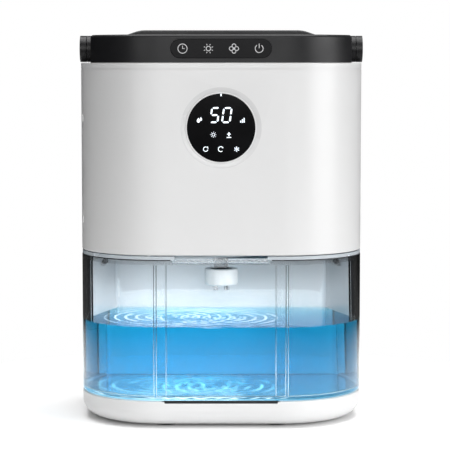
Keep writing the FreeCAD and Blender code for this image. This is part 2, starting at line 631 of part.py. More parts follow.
def upright(edge):
    box = edge.BoundBox
    return box.XLength < 1e-3 and box.YLength < 1e-3


def middle(edge):
    return edge.valueAt((edge.FirstParameter + edge.LastParameter) / 2)


def touch_strip():
    body = new_body("touch_strip")
    add(body, "XZ", FRONT, f"{FRONT} + strip_thick",
        [stadium(STRIP_HALF, STRIP_MID, "strip_high / 2")], "panel")
    soften(body, "0.35", lambda e: e.BoundBox.YMax < value(FRONT) + 0.01, "edge")


def touch_board():
    body = new_body("touch_board")
    face = f"{FRONT} + cover_wall + 0.2"
    add(body, "XZ", face, f"{face} + board_thick",
        [box(f"{STRIP_HALF} - 1", f"{STRIP_MID} - 6.5", f"{STRIP_MID} + 6")], "strip")
    add(body, "XZ", f"{face} + board_thick", f"{face} + board_thick + 3",
        [box("5", f"{STRIP_MID} - 2.5", f"{STRIP_MID} + 2.5")], "plug_socket")


def outlet_grille():
    body = new_body("outlet_grille")
    low, high = f"{COVER_TOP} - grille_height", f"{COVER_TOP} - 0.3"
    add(body, "XY", low, high, [("0", MIDDLE, f"{OUTLET_RADIUS} + 0.9"),
                                ("0", MIDDLE, f"{OUTLET_RADIUS} - 2")], "rim")
    rings = int((value(OUTLET_RADIUS) - 2) // value("ring_pitch"))
    loops = []
    for ring in range(1, rings):
        outer = f"({OUTLET_RADIUS} - 2) * {ring} / {rings} + 1"
        loops += [("0", MIDDLE, outer), ("0", MIDDLE, f"{outer} - ring_bar")]
    add(body, "XY", low, high, loops, "rings")
    bar = slab("0.1", f"{OUTLET_RADIUS} - 1", f"{MIDDLE} - ring_bar / 2",
               f"{MIDDLE} + ring_bar / 2")
    spoke = add(body, "XY", low, f"{high} - 0.6", [bar], "spoke")
    centre = draw(body, "XY", low, [("0", "0", "1")], "spoke_centre")
    centre.setExpression("AttachmentOffset.Base.y", bound(MIDDLE))
    doc.recompute()
    around = body.newObject("PartDesign::PolarPattern", "spokes")
    around.Originals = [spoke]
    around.Axis = (centre, ["N_Axis"])
    around.Angle = 360
    around.Occurrences = 10
    body.Tip = around
    doc.recompute()


# ---- handle ----

def carry_handle():
    body = new_body("carry_handle")
    outer = HANDLE_HALF
    inner = f"({HANDLE_HALF} - arm_thick)"
    back = f"{REAR} - bar_depth"
    crest = f"{COVER_TOP} + bar_rise"
    loop = [(f"-{outer}", MIDDLE), (f"-{inner}", MIDDLE), (f"-{inner}", back, "18"),
            (inner, back, "18"), (inner, MIDDLE), (outer, MIDDLE),
            (outer, REAR, "rear_radius + 0.5"), (f"-{outer}", REAR, "rear_radius + 0.5")]
    add(body, "XY", f"{PIVOT} - arm_high / 2", f"{crest} + 1", [loop], "bail")
    far = f"{HANDLE_HALF} + 10"
    low = f"{PIVOT} + arm_high / 2"
    ridge = f"({HANDLE_HALF} - crest_in)"
    over = [(f"-({far})", low), (f"-({ridge} + crest_run)", low, "26"),
            (f"-{ridge}", crest, "26"), (ridge, crest, "26"),
            (f"{ridge} + crest_run", low, "26"), (far, low),
            (far, f"{crest} + 5"), (f"-({far})", f"{crest} + 5")]
    cut(body, "XZ", f"{MIDDLE} - 5", f"{REAR} + 5", [over], "top_profile")
    floor = f"{PIVOT} - arm_high / 2"
    under = [(f"-({ridge} + 8)", f"{floor} - 5"), (f"{ridge} + 8", f"{floor} - 5"),
             (f"{ridge} + 8", floor), (f"{ridge} - 8", f"{floor} + 5", "16"),
             (f"-({ridge} - 8)", f"{floor} + 5", "16"), (f"-({ridge} + 8)", floor)]
    cut(body, "XZ", f"{back} - 20", f"{REAR} + 5", [under], "grip_relief")
    soften(body, "2", lambda e: e.Length > 3 and not upright(e)
           and abs(e.BoundBox.YMin - value(MIDDLE)) > 0.01, "soft_edges")
    for side in (-1, 1):
        ends = across(side, inner, outer)
        add(body, "YZ", ends[0], ends[1], [(MIDDLE, PIVOT, "pivot_radius")], "pivot_disc")
        cut(body, "YZ", f"{ends[0]} - 1", f"{ends[1]} + 1",
            [(MIDDLE, PIVOT, "pin_radius + run_fit")], "pivot_bore")
        ends = across(side, f"{outer} - cap_thick - 0.1", f"{outer} + 1")
        cut(body, "YZ", *ends, [(MIDDLE, PIVOT, "pivot_radius - 2")], "cap_seat")


def handle_caps():
    body = new_body("handle_caps")
    for side in (-1, 1):
        ends = across(side, f"{HANDLE_HALF} - cap_thick - 0.1", f"{HANDLE_HALF} - 0.1")
        add(body, "YZ", ends[0], ends[1], [(MIDDLE, PIVOT, "pivot_radius - 2.1")], "cap")


def handle_pins():
    body = new_body("handle_pins")
    for side in (-1, 1):
        ends = across(side, f"{COVER_HALF} - 6", f"{HANDLE_HALF} - cap_thick - 0.5")
        add(body, "YZ", ends[0], ends[1], [(MIDDLE, PIVOT, "pin_radius")], "pin")


# ---- intake at the back ----

def intake_grille():
    body = new_body("intake_grille")
    panel = box("window_half - panel_gap", f"{WINDOW_LOW} + panel_gap",
                f"{WINDOW_TOP} - panel_gap", "window_round - panel_gap")
    add(body, "XZ", f"{REAR} - wall", REAR, [panel], "panel")
    soften(body, "0.6", lambda e: e.BoundBox.YMin > value(REAR) - 0.01, "edge")
    rows = int(value(f"{WINDOW_TOP} - {WINDOW_LOW} - 16") // value("slot_pitch"))
    first = f"({WINDOW_LOW} + {WINDOW_TOP}) / 2 - {rows - 1} * slot_pitch / 2"
    pair = [slab(left, right, f"{first} - slot_high / 2", f"{first} + slot_high / 2", "1.5")
            for left, right in (("-slot_half", "-2"), ("2", "slot_half"))]
    slots = cut(body, "XZ", f"{REAR} - wall - 1", f"{REAR} + 1", pair, "slots")
    repeat(body, slots, "Z", "slot_pitch", rows)


def filter_line(inset):
    return box(f"window_half - 4 - {inset}", f"{WINDOW_LOW} + 4 + {inset}",
               f"{WINDOW_TOP} - 4 - {inset}", "3")


def filter_frame():
    body = new_body("filter_frame")
    face = f"{REAR} - wall - 0.1"
    add(body, "XZ", f"{face} - frame_thick", face,
        [filter_line("0"), filter_line("frame_width")], "frame")


def filter_mesh():
    body = new_body("filter_mesh")
    mid = f"{REAR} - wall - 0.1 - frame_thick / 2"
    add(body, "XZ", f"{mid} - mesh_thick / 2", f"{mid} + mesh_thick / 2",
        [filter_line("frame_width")], "sheet")


# ---- tank ----

def tank_line(inset):
    """The tank's plan: the body's round front, with the column's cheeks cut out of it."""
    front, rear = cheek_line(f"-slide_gap - ({inset})", f"{CHEEK_START} - slide_gap - ({inset})",
                             f"{BAY_BACK} - slide_gap - ({inset})")
    side = f"{HALF} - ({inset})"
    wide = f"front_radius - ({inset})"
    edge = f"{FRONT} + {inset}"
    tight = f"cheek_radius - ({inset})"
    step = f"{front[0]} - 1"
    soft = ("side_round",) if value(inset) < value("side_round") else ()
    return [(f"-({side})", edge, wide), (side, edge, wide),
            (side, front[1]) + soft, (step, front[1]),
            (rear[0], rear[1], tight), (f"-({rear[0]})", rear[1], tight),
            (f"-({step})", front[1]), (f"-({side})", front[1]) + soft]


def tank():
    body = new_body("tank")
    add(body, "XY", TANK_LOW, TANK_TOP, [tank_line("0")], "block")
    level = value(TANK_LOW)
    soften(body, "1.6", lambda e: at_height(e, level), "foot_edge")
    cut(body, "XY", f"{TANK_LOW} + tank_floor", f"{TANK_TOP} + 1",
        [tank_line("tank_wall")], "inside")
    floor = value(f"{TANK_LOW} + tank_floor")
    soften(body, "2", lambda e: at_height(e, floor), "floor_edge")
    inner = f"{FRONT} + tank_wall"
    rib_top = f"{LID_LOW} - lid_lip - 0.5"
    add(body, "XY", f"{TANK_LOW} + tank_floor - 0.5", rib_top,
        mirrored_circles(f"{HALF} - rib_in", f"{inner} + 0.2", "rib_radius"), "round_ribs")
    add(body, "XY", f"{TANK_LOW} + tank_floor - 0.5", rib_top,
        mirrored_circles(f"{HALF} - crease_in", inner, "crease_radius"), "fine_ribs")
    notch = slab("-scoop_half - 0.3", "scoop_half + 0.3",
                 f"{LID_LOW} - scoop_drop - 0.2", f"{TANK_TOP} + 5")
    cut(body, "XZ", f"{FRONT} - 1", f"{FRONT} + tank_wall + 2", [notch], "scoop_notch")


def edge_seals():
    """Upright strips on the tank's side shoulders that shut the gap to the rear column."""
    body = new_body("edge_seals")
    for side in (-1, 1):
        ends = across(side, f"{HALF} - side_round - edge_seal", f"{HALF} - side_round")
        add(body, "XY", f"{TANK_LOW} + 2", f"{TANK_TOP} - 1",
            [slab(*ends, f"{CHEEK_START} - slide_gap", f"{CHEEK_START} - 0.2")], "strip")


def lid_seal():
    body = new_body("lid_seal")
    add(body, "XY", TANK_TOP, LID_LOW,
        [tank_line("0.3"), tank_line("0.3 + seal_width")], "ring")
    notch = box("scoop_half + 1.5", f"{FRONT} - 2", f"{FRONT} + 6")
    cut(body, "XY", f"{TANK_TOP} - 1", f"{LID_LOW} + 1", [notch], "scoop_notch")


def tank_lid():
    body = new_body("tank_lid")
    add(body, "XY", LID_LOW, LID_TOP, [tank_line("0.2")], "plate")
    add(body, "XY", f"{LID_LOW} - lid_lip", f"{LID_LOW} + 0.5",
        [tank_line("tank_wall + lip_gap"), tank_line("tank_wall + lip_gap + lip_wall")],
        "lip")
    floor = f"{LID_LOW} - scoop_drop"
    add(body, "XY", floor, f"{LID_TOP}",
        [box("scoop_half", f"{FRONT} + 0.3", f"{FRONT} + scoop_depth")], "scoop")
    cut(body, "XY", f"{floor} + scoop_wall", f"{LID_TOP} + 1",
        [box("scoop_half - scoop_wall", f"{FRONT} - 2",
             f"{FRONT} + scoop_depth - scoop_wall")], "scoop_hollow")
    cut(body, "XY", f"{LID_LOW} - 1", f"{LID_TOP} + 1",
        [("0", DRIP, "drip_radius"),
         (f"-({HALF} - pour_in)", f"{BAY_BACK} - pour_ahead", "pour_radius")], "holes")
    add(body, "XY", f"{LID_LOW} - collar_height", f"{LID_LOW} + 0.5",
        [("0", MIDDLE, "collar_radius")], "collar")
    add(body, "XY", POST_LOW, f"{LID_LOW}",
        [("0", MIDDLE, "post_radius"), ("0", MIDDLE, "post_radius - post_wall")], "post")
    for side in (-1, 1):
        ends = across(side, "post_radius - 0.5", "post_radius + hook_reach")
        add(body, "XY", POST_LOW, f"{POST_LOW} + hook_height",
            [slab(ends[0], ends[1], f"{MIDDLE} - 2", f"{MIDDLE} + 2")], "hook")
    cut(body, "XY", f"{POST_LOW} - 1", f"{FLOAT_LOW} + 6",
        [slab("-2.6", "2.6", f"{MIDDLE} - 12", f"{MIDDLE} + 12")], "split")


def float_ring():
    body = new_body("float_ring")
    bore = "post_radius + float_gap"
    add(body, "XY", FLOAT_LOW, FLOAT_TOP,
        [("0", MIDDLE, "float_radius"), ("0", MIDDLE, bore)], "ring")
    soften(body, "1.2", lambda e: e.BoundBox.XLength > 2 * value("float_radius") - 1
           and (at_height(e, value(FLOAT_LOW)) or at_height(e, value(FLOAT_TOP))), "rims")
    cut(body, "XY", f"{FLOAT_TOP} - magnet_height", f"{FLOAT_TOP} + 1",
        [("0", MIDDLE, "magnet_radius")], "magnet_seat")


def float_magnet():
    body = new_body("float_magnet")
    add(body, "XY", f"{FLOAT_TOP} - magnet_height", f"{FLOAT_TOP} - 0.3",
        [("0", MIDDLE, "magnet_radius"), ("0", MIDDLE, "post_radius + float_gap")], "ring")


# ---- inside the housing ----

def air_duct():
    body = new_body("air_duct")
    back = f"{REAR} - wall - frame_thick - 2"
    inner = "duct_half - duct_wall"
    walls = [("-duct_half", DUCT_FRONT, "6"), ("duct_half", DUCT_FRONT, "6"),
             ("duct_half", back), (inner, back), (inner, f"{DUCT_FRONT} + duct_wall", "4"),
             (f"-({inner})", f"{DUCT_FRONT} + duct_wall", "4"), (f"-({inner})", back),
             ("-duct_half", back)]
    add(body, "XY", DUCT_LOW, FAN_LOW, [walls], "walls")
    add(body, "XY", f"{FAN_LOW} - duct_wall", FAN_LOW,
        [box("duct_half", DUCT_FRONT, back, "5"), ("0", MIDDLE, "fan_bore - 6")], "roof")
    cut(body, "XY", f"{FAN_LOW} - duct_wall - 1", f"{FAN_LOW} + 1",
        mirrored_circles("fan_screw_half", f"{MIDDLE} + fan_screw_half", "1.4"),
        "screw_holes")


def fan_frame():
    body = new_body("fan_frame")
    low, high = FAN_LOW, f"{FAN_LOW} + fan_height"
    half = "fan_side / 2"
    add(body, "XY", low, high,
        [box(half, f"{MIDDLE} - {half}", f"{MIDDLE} + {half}", "4"),
         ("0", MIDDLE, "fan_bore")], "frame")
    add(body, "XY", low, f"{low} + 3", [("0", MIDDLE, "hub_radius")], "motor_seat")
    add(body, "XY", low, f"{low} + 3",
        [slab("-fan_bore - 1", "fan_bore + 1", f"{MIDDLE} - 2.5", f"{MIDDLE} + 2.5")],
        "arms")
    add(body, "XY", low, f"{low} + 3",
        [slab("-2.5", "2.5", f"{MIDDLE} - fan_bore - 1", f"{MIDDLE} + fan_bore + 1")],
        "cross_arms")
    add(body, "XY", f"{low} + 2", f"{low} + 12", [("0", MIDDLE, "4")], "bearing_tube")
    cut(body, "XY", f"{low} + 3", f"{low} + 13", [("0", MIDDLE, "1.55")], "bearing")
    corners = [(f"{side} * fan_screw_half", f"{MIDDLE} + {end} * fan_screw_half", "2")
               for side in (-1, 1) for end in (-1, 1)]
    cut(body, "XY", f"{low} - 1", f"{high} + 1", corners, "holes")


def fan_screws():
    body = new_body("fan_screws")
    top = f"{FAN_LOW} + fan_height"
    back = f"{MIDDLE} + fan_screw_half"
    add(body, "XY", top, f"{top} + 2", mirrored_circles("fan_screw_half", back, "3.2"),
        "heads")
    add(body, "XY", f"{FAN_LOW} - 5", f"{top} + 0.1",
        mirrored_circles("fan_screw_half", back, "1.3"), "shanks")


def fan_rotor():
    """Hub cup with a shaft and seven pitched blades, each a loft from root to tip."""
    low = value(FAN_LOW) + 5
    hub, tip = value("hub_radius"), value("fan_bore") - 1.5
    mid = FreeCAD.Vector(0, value(MIDDLE), low)
    cup = Part.makeCylinder(hub, value("fan_height") - 7, mid)
    room = Part.makeCylinder(hub - 2, value("fan_height") - 9, mid - FreeCAD.Vector(0, 0, 0.1))
    shaft = Part.makeCylinder(1.5, value("fan_height") - 7.5, mid - FreeCAD.Vector(0, 0, 1))
    shape = cup.cut(room).fuse(shaft)
    for number in range(7):
        ends = []
        for radius, width, pitch in ((hub - 1, 15, 50), (tip, 20, 28)):
            lean = math.radians(pitch)
            corners = []
            for s, t in ((-1, -1), (1, -1), (1, 1), (-1, 1), (-1, -1)):
                along, thick = s * width / 2, t * 0.7
                across = along * math.cos(lean) - thick * math.sin(lean)
                up = along * math.sin(lean) + thick * math.cos(lean)
                corners.append(FreeCAD.Vector(radius, across, 9 + up))
            ends.append(Part.makePolygon(corners))
        blade = Part.makeLoft(ends, True)
        blade.rotate(FreeCAD.Vector(0, 0, 0), FreeCAD.Vector(0, 0, 1), 360 * number / 7)
        blade.translate(mid)
        shape = shape.fuse(blade)
    rotor = doc.addObject("Part::Feature", "fan_rotor")
    rotor.Label = "fan_rotor"
    rotor.Shape = shape.removeSplitter()
    rotor.Placement = FreeCAD.Placement()


def finned_sink(label, base_low, base_high, fin_low, fin_high, half, high):
    """A plate with upright fins on one side."""
    body = new_body(label)
    low, top = f"{SINK_MID} - ({high}) / 2", f"{SINK_MID} + ({high}) / 2"
    add(body, "XZ", base_low, base_high, [box(half, low, top)], "plate")
    count = int(2 * (value(half) - 1) // value("fin_pitch")) + 1
    first = f"-fin_pitch * {count - 1} / 2"
    fin = add(body, "XZ", fin_low, fin_high,
              [slab(f"{first} - fin_thick / 2", f"{first} + fin_thick / 2", low, top)], "fin")
    repeat(body, fin, "X", "fin_pitch", count)
    clamp = mirrored_circles("clamp_half", SINK_MID, "screw_radius + 0.1")
    cut(body, "XZ", f"{base_low} - 0.05", f"{base_high} + 0.05", clamp, "clamp_holes")


def hot_sink():
    finned_sink("hot_sink", f"{CELL} - hot_base", CELL, f"{DUCT_FRONT} + duct_wall + hot_clear",
                f"{CELL} - hot_base + 0.1", "hot_half",
                f"{FAN_LOW} - {DUCT_LOW} - hot_margin")


def cold_sink():
    finned_sink("cold_sink", f"{CELL} + cell_thick", COLD_FACE, f"{COLD_FACE} - 0.1",
                f"{COLD_FACE} + cold_fin", "cold_half",
                f"{FAN_LOW} - {DUCT_LOW} - cold_margin")


def peltier_cell():
    body = new_body("peltier_cell")
    half = "cell_side / 2"
    add(body, "XZ", CELL, f"{CELL} + cell_thick",
        [box(half, f"{SINK_MID} - {half}", f"{SINK_MID} + {half}")], "cell")


def foam_gasket():
    body = new_body("foam_gasket")
    half = "cell_side / 2 + 0.3"
    rise = f"({FAN_LOW} - {DUCT_LOW}) * gasket_share"
    add(body, "XZ", CELL, f"{CELL} + cell_thick",
        [box("gasket_half", f"{SINK_MID} - {rise}", f"{SINK_MID} + {rise}"),
         box(half, f"{SINK_MID} - ({half})", f"{SINK_MID} + {half}")], "frame")
    cut(body, "XZ", f"{CELL} - 1", f"{CELL} + cell_thick + 1",
        mirrored_circles("clamp_half", SINK_MID, "screw_radius + 0.1"), "clamp_holes")


def clamp_screws():
    body = new_body("clamp_screws")
    add(body, "XZ", COLD_FACE, f"{COLD_FACE} + 1.8",
        mirrored_circles("clamp_half", SINK_MID, "2.3"), "heads")
    add(body, "XZ", f"{CELL} - hot_base + 0.3", f"{COLD_FACE} + 0.1",
        mirrored_circles("clamp_half", SINK_MID, "screw_radius"), "shanks")


def drip_tray():
    body = new_body("drip_tray")
    low = f"{BODY_LOW} + tray_low"
    front, back = f"{DRIP} - 8", f"{COLD_FACE} + cold_fin + 3"
    add(body, "XY", low, f"{low} + tray_high", [box("tray_half", front, back, "4")], "block")
    cut(body, "XY", f"{low} + tray_wall", f"{low} + tray_high + 1",
        [box("tray_half - tray_wall", f"{front} + tray_wall", f"{back} - tray_wall", "2.5")],
        "trough")
    add(body, "XY", BODY_LOW, f"{low} + 0.1", [("0", DRIP, "nozzle_radius")], "nozzle")
    cut(body, "XY", f"{BODY_LOW} - 1", f"{low} + 3", [("0", DRIP, "nozzle_radius - 1.5")],
        "drain")


def main_board():
    body = new_body("main_board")
    add(body, "YZ", f"{BOARD} - board_thick", BOARD,
        [slab(BOARD_FRONT, BOARD_BACK, BOARD_LOW, BOARD_TOP)], "board")
    cut(body, "YZ", f"{BOARD} - board_thick - 1", f"{BOARD} + 1",
        [(y, z, "board_screw + 0.4") for y, z in BOARD_HOLES], "holes")


def board_screws():
    body = new_body("board_screws")
    add(body, "YZ", BOARD, f"{BOARD} + 1.8",
        [(y, z, "board_screw + 1.4") for y, z in BOARD_HOLES], "heads")
    add(body, "YZ", f"{BOARD} - board_thick - 6", f"{BOARD} + 0.1",
        [(y, z, "board_screw") for y, z in BOARD_HOLES], "shanks")


def board_parts():
    body = new_body("board_parts")
    room = f"({HALF} - board_in - duct_half)"
    for up, radius, reach, name in ((0.34, 8, 0.58, "big_capacitor"),
                                    (0.20, 5, 0.37, "capacitor")):
        spot = (f"{FRONT} + body_depth * 0.413", f"{BODY_LOW} + housing_height * {up}", radius)
        add(body, "YZ", BOARD, f"{BOARD} + {room} * {reach}", [spot], name)
    for along, up, half_y, half_z, reach, name in ((0.633, 0.305, 12, 10, 0.42, "transformer"),
                                                   (0.633, 0.51, 9, 6, 0.24, "connector"),
                                                   (0.433, 0.575, 7, 7, 0.08, "controller")):
        y, z = f"{FRONT} + body_depth * {along}", f"{BODY_LOW} + housing_height * {up}"
        add(body, "YZ", BOARD, f"{BOARD} + {room} * {reach}",
            [slab(f"{y} - {half_y}", f"{y} + {half_y}", f"{z} - {half_z}", f"{z} + {half_z}")],
            name)


def reed_switch():
    body = new_body("reed_switch")
    floor = f"{BODY_LOW} + wall"
    add(body, "YZ", "-7", "7", [(MIDDLE, f"{floor} + 1.6", "1.5")], "capsule")


def humidity_sensor():
    body = new_body("humidity_sensor")
    back, low = f"{REAR} - 22", f"{BODY_LOW} + 60"
    face = "duct_half + board_thick"
    add(body, "YZ", "duct_half", face, [slab(back, f"{back} + 12", low, f"{low} + 18")],
        "board")
    add(body, "YZ", face, f"{face} + 3",
        [slab(f"{back} + 3", f"{back} + 9", f"{low} + 8", f"{low} + 15")], "cell")


BUILDERS = [
    base_shell, base_plate, rubber_feet, base_screws, spine_front, spine_screws, spine_back,
    dc_inlet, upper_housing, housing_screws, display_ring, display_glass, light_shield,
    digit_display, display_board, top_cover, touch_strip, touch_board, outlet_grille,
    carry_handle, handle_caps, handle_pins, intake_grille, filter_frame, filter_mesh, tank,
    edge_seals, lid_seal, tank_lid, float_ring, float_magnet, air_duct, fan_frame, fan_screws, fan_rotor,
    hot_sink, cold_sink, peltier_cell, foam_gasket, clamp_screws, drip_tray, main_board,
    board_screws, board_parts, reed_switch, humidity_sensor,
]
for build in BUILDERS:
    build()
doc.recompute()

pieces = [doc.getObject(build.__name__) for build in BUILDERS]
for item in doc.Objects:
    if "Invalid" in item.State or "Error" in item.State:
        raise RuntimeError(f"{item.Name} is {item.State}")
for piece in pieces:
    if piece.Shape.isNull() or not piece.Shape.isValid() or not piece.Shape.Solids:
        raise RuntimeError(f"{piece.Label} has no valid solid")

os.makedirs("parts", exist_ok=True)
for piece in pieces:
    piece.Shape.exportStep(f"parts/{piece.Label}.step")
    print(piece.Label, len(piece.Shape.Solids), round(piece.Shape.Volume))
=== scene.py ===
import math
import bmesh
import bpy
from mathutils import Matrix, Vector


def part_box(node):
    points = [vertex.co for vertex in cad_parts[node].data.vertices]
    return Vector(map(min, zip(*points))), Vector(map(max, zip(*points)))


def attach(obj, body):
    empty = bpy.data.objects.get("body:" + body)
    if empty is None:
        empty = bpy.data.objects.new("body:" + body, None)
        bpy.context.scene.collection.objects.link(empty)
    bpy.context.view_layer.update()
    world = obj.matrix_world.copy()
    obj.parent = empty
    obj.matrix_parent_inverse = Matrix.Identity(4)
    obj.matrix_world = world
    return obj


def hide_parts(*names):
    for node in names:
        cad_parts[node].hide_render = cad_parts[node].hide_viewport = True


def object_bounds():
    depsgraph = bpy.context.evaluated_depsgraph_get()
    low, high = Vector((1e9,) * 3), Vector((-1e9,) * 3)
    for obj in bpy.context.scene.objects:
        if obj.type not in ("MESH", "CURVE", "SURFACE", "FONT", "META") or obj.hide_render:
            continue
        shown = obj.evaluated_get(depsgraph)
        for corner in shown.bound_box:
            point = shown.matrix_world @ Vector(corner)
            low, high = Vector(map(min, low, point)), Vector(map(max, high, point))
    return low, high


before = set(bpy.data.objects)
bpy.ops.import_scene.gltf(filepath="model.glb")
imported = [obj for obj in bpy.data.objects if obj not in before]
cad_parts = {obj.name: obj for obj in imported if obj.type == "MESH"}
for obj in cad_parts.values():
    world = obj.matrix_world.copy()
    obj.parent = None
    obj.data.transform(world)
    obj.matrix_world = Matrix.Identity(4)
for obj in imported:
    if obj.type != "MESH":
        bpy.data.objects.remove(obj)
cad_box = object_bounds()
MM = 0.001


# ---- rear column ----
# The column behind the tank: a rear skin and a front panel, each moulded in white ABS with a
# fine satin texture. The front panel gets a brighter, bluish copy of that white: painted light
# standing in for the light that reaches it through the clear tank.

def new_group(name, inputs, outputs):
    """An empty shader group with its sockets, and its input and output nodes."""
    group = bpy.data.node_groups.new(name, "ShaderNodeTree")
    for label, kind, default in inputs:
        socket = group.interface.new_socket(label, in_out="INPUT", socket_type=kind)
        socket.default_value = default
    for label, kind in outputs:
        group.interface.new_socket(label, in_out="OUTPUT", socket_type=kind)
    return group, group.nodes.new("NodeGroupInput"), group.nodes.new("NodeGroupOutput")


def new_material(name):
    material = bpy.data.materials.new(name)
    material.use_nodes = True
    tree = material.node_tree
    return material, tree.nodes, tree.links, tree.nodes["Principled BSDF"]


COLOR, FLOAT = "NodeSocketColor", "NodeSocketFloat"
grain, grain_in, grain_out = new_group(
    "moulded_grain",
    [("Colour", COLOR, (0.8, 0.8, 0.8, 1)), ("Shade", COLOR, (0.7, 0.7, 0.7, 1)),
     ("Grain Scale", FLOAT, 2500), ("Flow Scale", FLOAT, 30),
     ("Smooth", FLOAT, 0.3), ("Rough", FLOAT, 0.4)],
    [("Colour", COLOR), ("Roughness", FLOAT), ("Height", FLOAT)])
spot = grain.nodes.new("ShaderNodeTexCoord")
pits = grain.nodes.new("ShaderNodeTexNoise")
flow = grain.nodes.new("ShaderNodeTexNoise")
flow.inputs["Detail"].default_value = 3
tint = grain.nodes.new("ShaderNodeMix")
tint.data_type = "RGBA"
sheen = grain.nodes.new("ShaderNodeMapRange")
sheen.inputs["From Min"].default_value = 0.35
sheen.inputs["From Max"].default_value = 0.65
grain.links.new(spot.outputs["Object"], pits.inputs["Vector"])
grain.links.new(spot.outputs["Object"], flow.inputs["Vector"])
grain.links.new(grain_in.outputs["Grain Scale"], pits.inputs["Scale"])
grain.links.new(grain_in.outputs["Flow Scale"], flow.inputs["Scale"])
grain.links.new(flow.outputs["Fac"], tint.inputs["Factor"])
grain.links.new(grain_in.outputs["Colour"], tint.inputs["A"])
grain.links.new(grain_in.outputs["Shade"], tint.inputs["B"])
grain.links.new(flow.outputs["Fac"], sheen.inputs["Value"])
grain.links.new(grain_in.outputs["Smooth"], sheen.inputs["To Min"])
grain.links.new(grain_in.outputs["Rough"], sheen.inputs["To Max"])
grain.links.new(tint.outputs["Result"], grain_out.inputs["Colour"])
grain.links.new(sheen.outputs["Result"], grain_out.inputs["Roughness"])
grain.links.new(pits.outputs["Fac"], grain_out.inputs["Height"])


def moulded(name, colour, shade, smooth, rough, grain_scale=2500, depth=0.02, shine=0.5):
    """A moulded plastic whose tone, gloss and fine texture vary over the surface."""
    material, nodes, links, surface = new_material(name)
    skin = nodes.new("ShaderNodeGroup")
    skin.node_tree = grain
    skin.inputs["Colour"].default_value = (*colour, 1)
    skin.inputs["Shade"].default_value = (*shade, 1)
    skin.inputs["Grain Scale"].default_value = grain_scale
    skin.inputs["Smooth"].default_value = smooth
    skin.inputs["Rough"].default_value = rough
    bump = nodes.new("ShaderNodeBump")
    bump.inputs["Strength"].default_value = 0.3
    bump.inputs["Distance"].default_value = depth * MM
    surface.inputs["Specular IOR Level"].default_value = shine
    links.new(skin.outputs["Colour"], surface.inputs["Base Color"])
    links.new(skin.outputs["Roughness"], surface.inputs["Roughness"])
    links.new(skin.outputs["Height"], bump.inputs["Height"])
    links.new(bump.outputs["Normal"], surface.inputs["Normal"])
    return material


def smooth_shell(node, body, material, crease=28):
    """A merged copy of a CAD node with smoothly shaded curves, which stands for it."""
    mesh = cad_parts[node].data.copy()
    form = bmesh.new()
    form.from_mesh(mesh)
    bmesh.ops.remove_doubles(form, verts=form.verts, dist=0.002 * MM)
    for face in form.faces:
        face.smooth = True
    for edge in form.edges:
        edge.smooth = edge.calc_face_angle(0) < math.radians(crease)
    form.to_mesh(mesh)
    form.free()
    for old in ("custom_normal", "sharp_face"):
        if old in mesh.attributes:
            mesh.attributes.remove(mesh.attributes[old])
    mesh.materials.clear()
    mesh.materials.append(material)
    shell = bpy.data.objects.new(node + "_shell", mesh)
    bpy.context.collection.objects.link(shell)
    even = shell.modifiers.new("even_flats", "WEIGHTED_NORMAL")
    even.keep_sharp = True
    even.weight = 100
    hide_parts(node)
    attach(shell, body)
    return shell


white_abs = moulded("white_abs", (0.64, 0.64, 0.64), (0.62, 0.62, 0.622), 0.30, 0.36)
smooth_shell("spine_back", "housing", white_abs)
# A brighter, bluish copy of the white ABS: painted light on the panel behind the tank.
bay_white_painted_light = moulded("bay_white_painted_light", (0.92, 0.95, 0.97), (0.90, 0.93, 0.96), 0.28, 0.36)
smooth_shell("spine_front", "housing", bay_white_painted_light)

# ---- upper housing ----
# The D-shaped body, one ABS moulding. A shallow dish in its front wall has a finer polish
# than the rest and a slightly darker tone, which is painted shade around the display; a
# bright ring pressed into the dish holds the display.
upper = smooth_shell("upper_housing", "housing", white_abs)
# A smoother, slightly darker copy of the white ABS: painted shade in the dish.
dish_white_painted_shade = moulded("dish_white_painted_shade", (0.59, 0.59, 0.593), (0.57, 0.57, 0.573), 0.22, 0.30)
upper.data.materials.append(dish_white_painted_shade)
lens_low, lens_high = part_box("display_glass")
LENS_UP = (lens_low[2] + lens_high[2]) / 2
DISH_WIDTH = 5.9 * MM
DISH_REACH = (lens_high[0] - lens_low[0]) / 2 + DISH_WIDTH
DISH_BACK = cad_box[0][1] + 2 * MM


def from_lens(point):
    """Distance of a point from the display's middle, seen from the front."""
    return math.hypot(point.x, point.z - LENS_UP)


# The dish's faces around the display take the darker copy: painted shade.
for face in upper.data.polygons:
    corners = [upper.data.vertices[i].co for i in face.vertices]
    if face.center.y < DISH_BACK and max(map(from_lens, corners)) < DISH_REACH:
        face.material_index = 1


def finish_node(material, *names):
    """Gives carried-over CAD nodes their material."""
    for name in names:
        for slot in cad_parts[name].material_slots:
            slot.material = material


finish_node(white_abs, "display_ring")

# ---- base ----
# A low ABS tray with a rolled lower edge, closed by a plate from below. The faces of the
# shallow slot under the tank's front edge, where fingertips pull, are painted black: painted
# shade in the recess.
base = smooth_shell("base_shell", "housing", white_abs)
# Near black for the slot's faces: painted shade.
slot_painted_shade = moulded("slot_painted_shade", (0.03, 0.03, 0.03), (0.05, 0.05, 0.05), 0.5, 0.6, shine=0.1)
base.data.materials.append(slot_painted_shade)
base_low, base_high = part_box("base_shell")
SLOT_HALF = 45 * MM
SLOT_DEPTH = 1.6 * MM
SLOT_FRONT = base_low[1] + 0.2 * MM
SLOT_BACK = base_low[1] + 5.1 * MM
# Faces inside the slot take the near black: painted shade in the recess.
for face in base.data.polygons:
    x, y, z = face.center
    if abs(x) < SLOT_HALF and SLOT_FRONT < y < SLOT_BACK and z > base_high[2] - SLOT_DEPTH:
        face.material_index = 1
finish_node(white_abs, "base_plate")

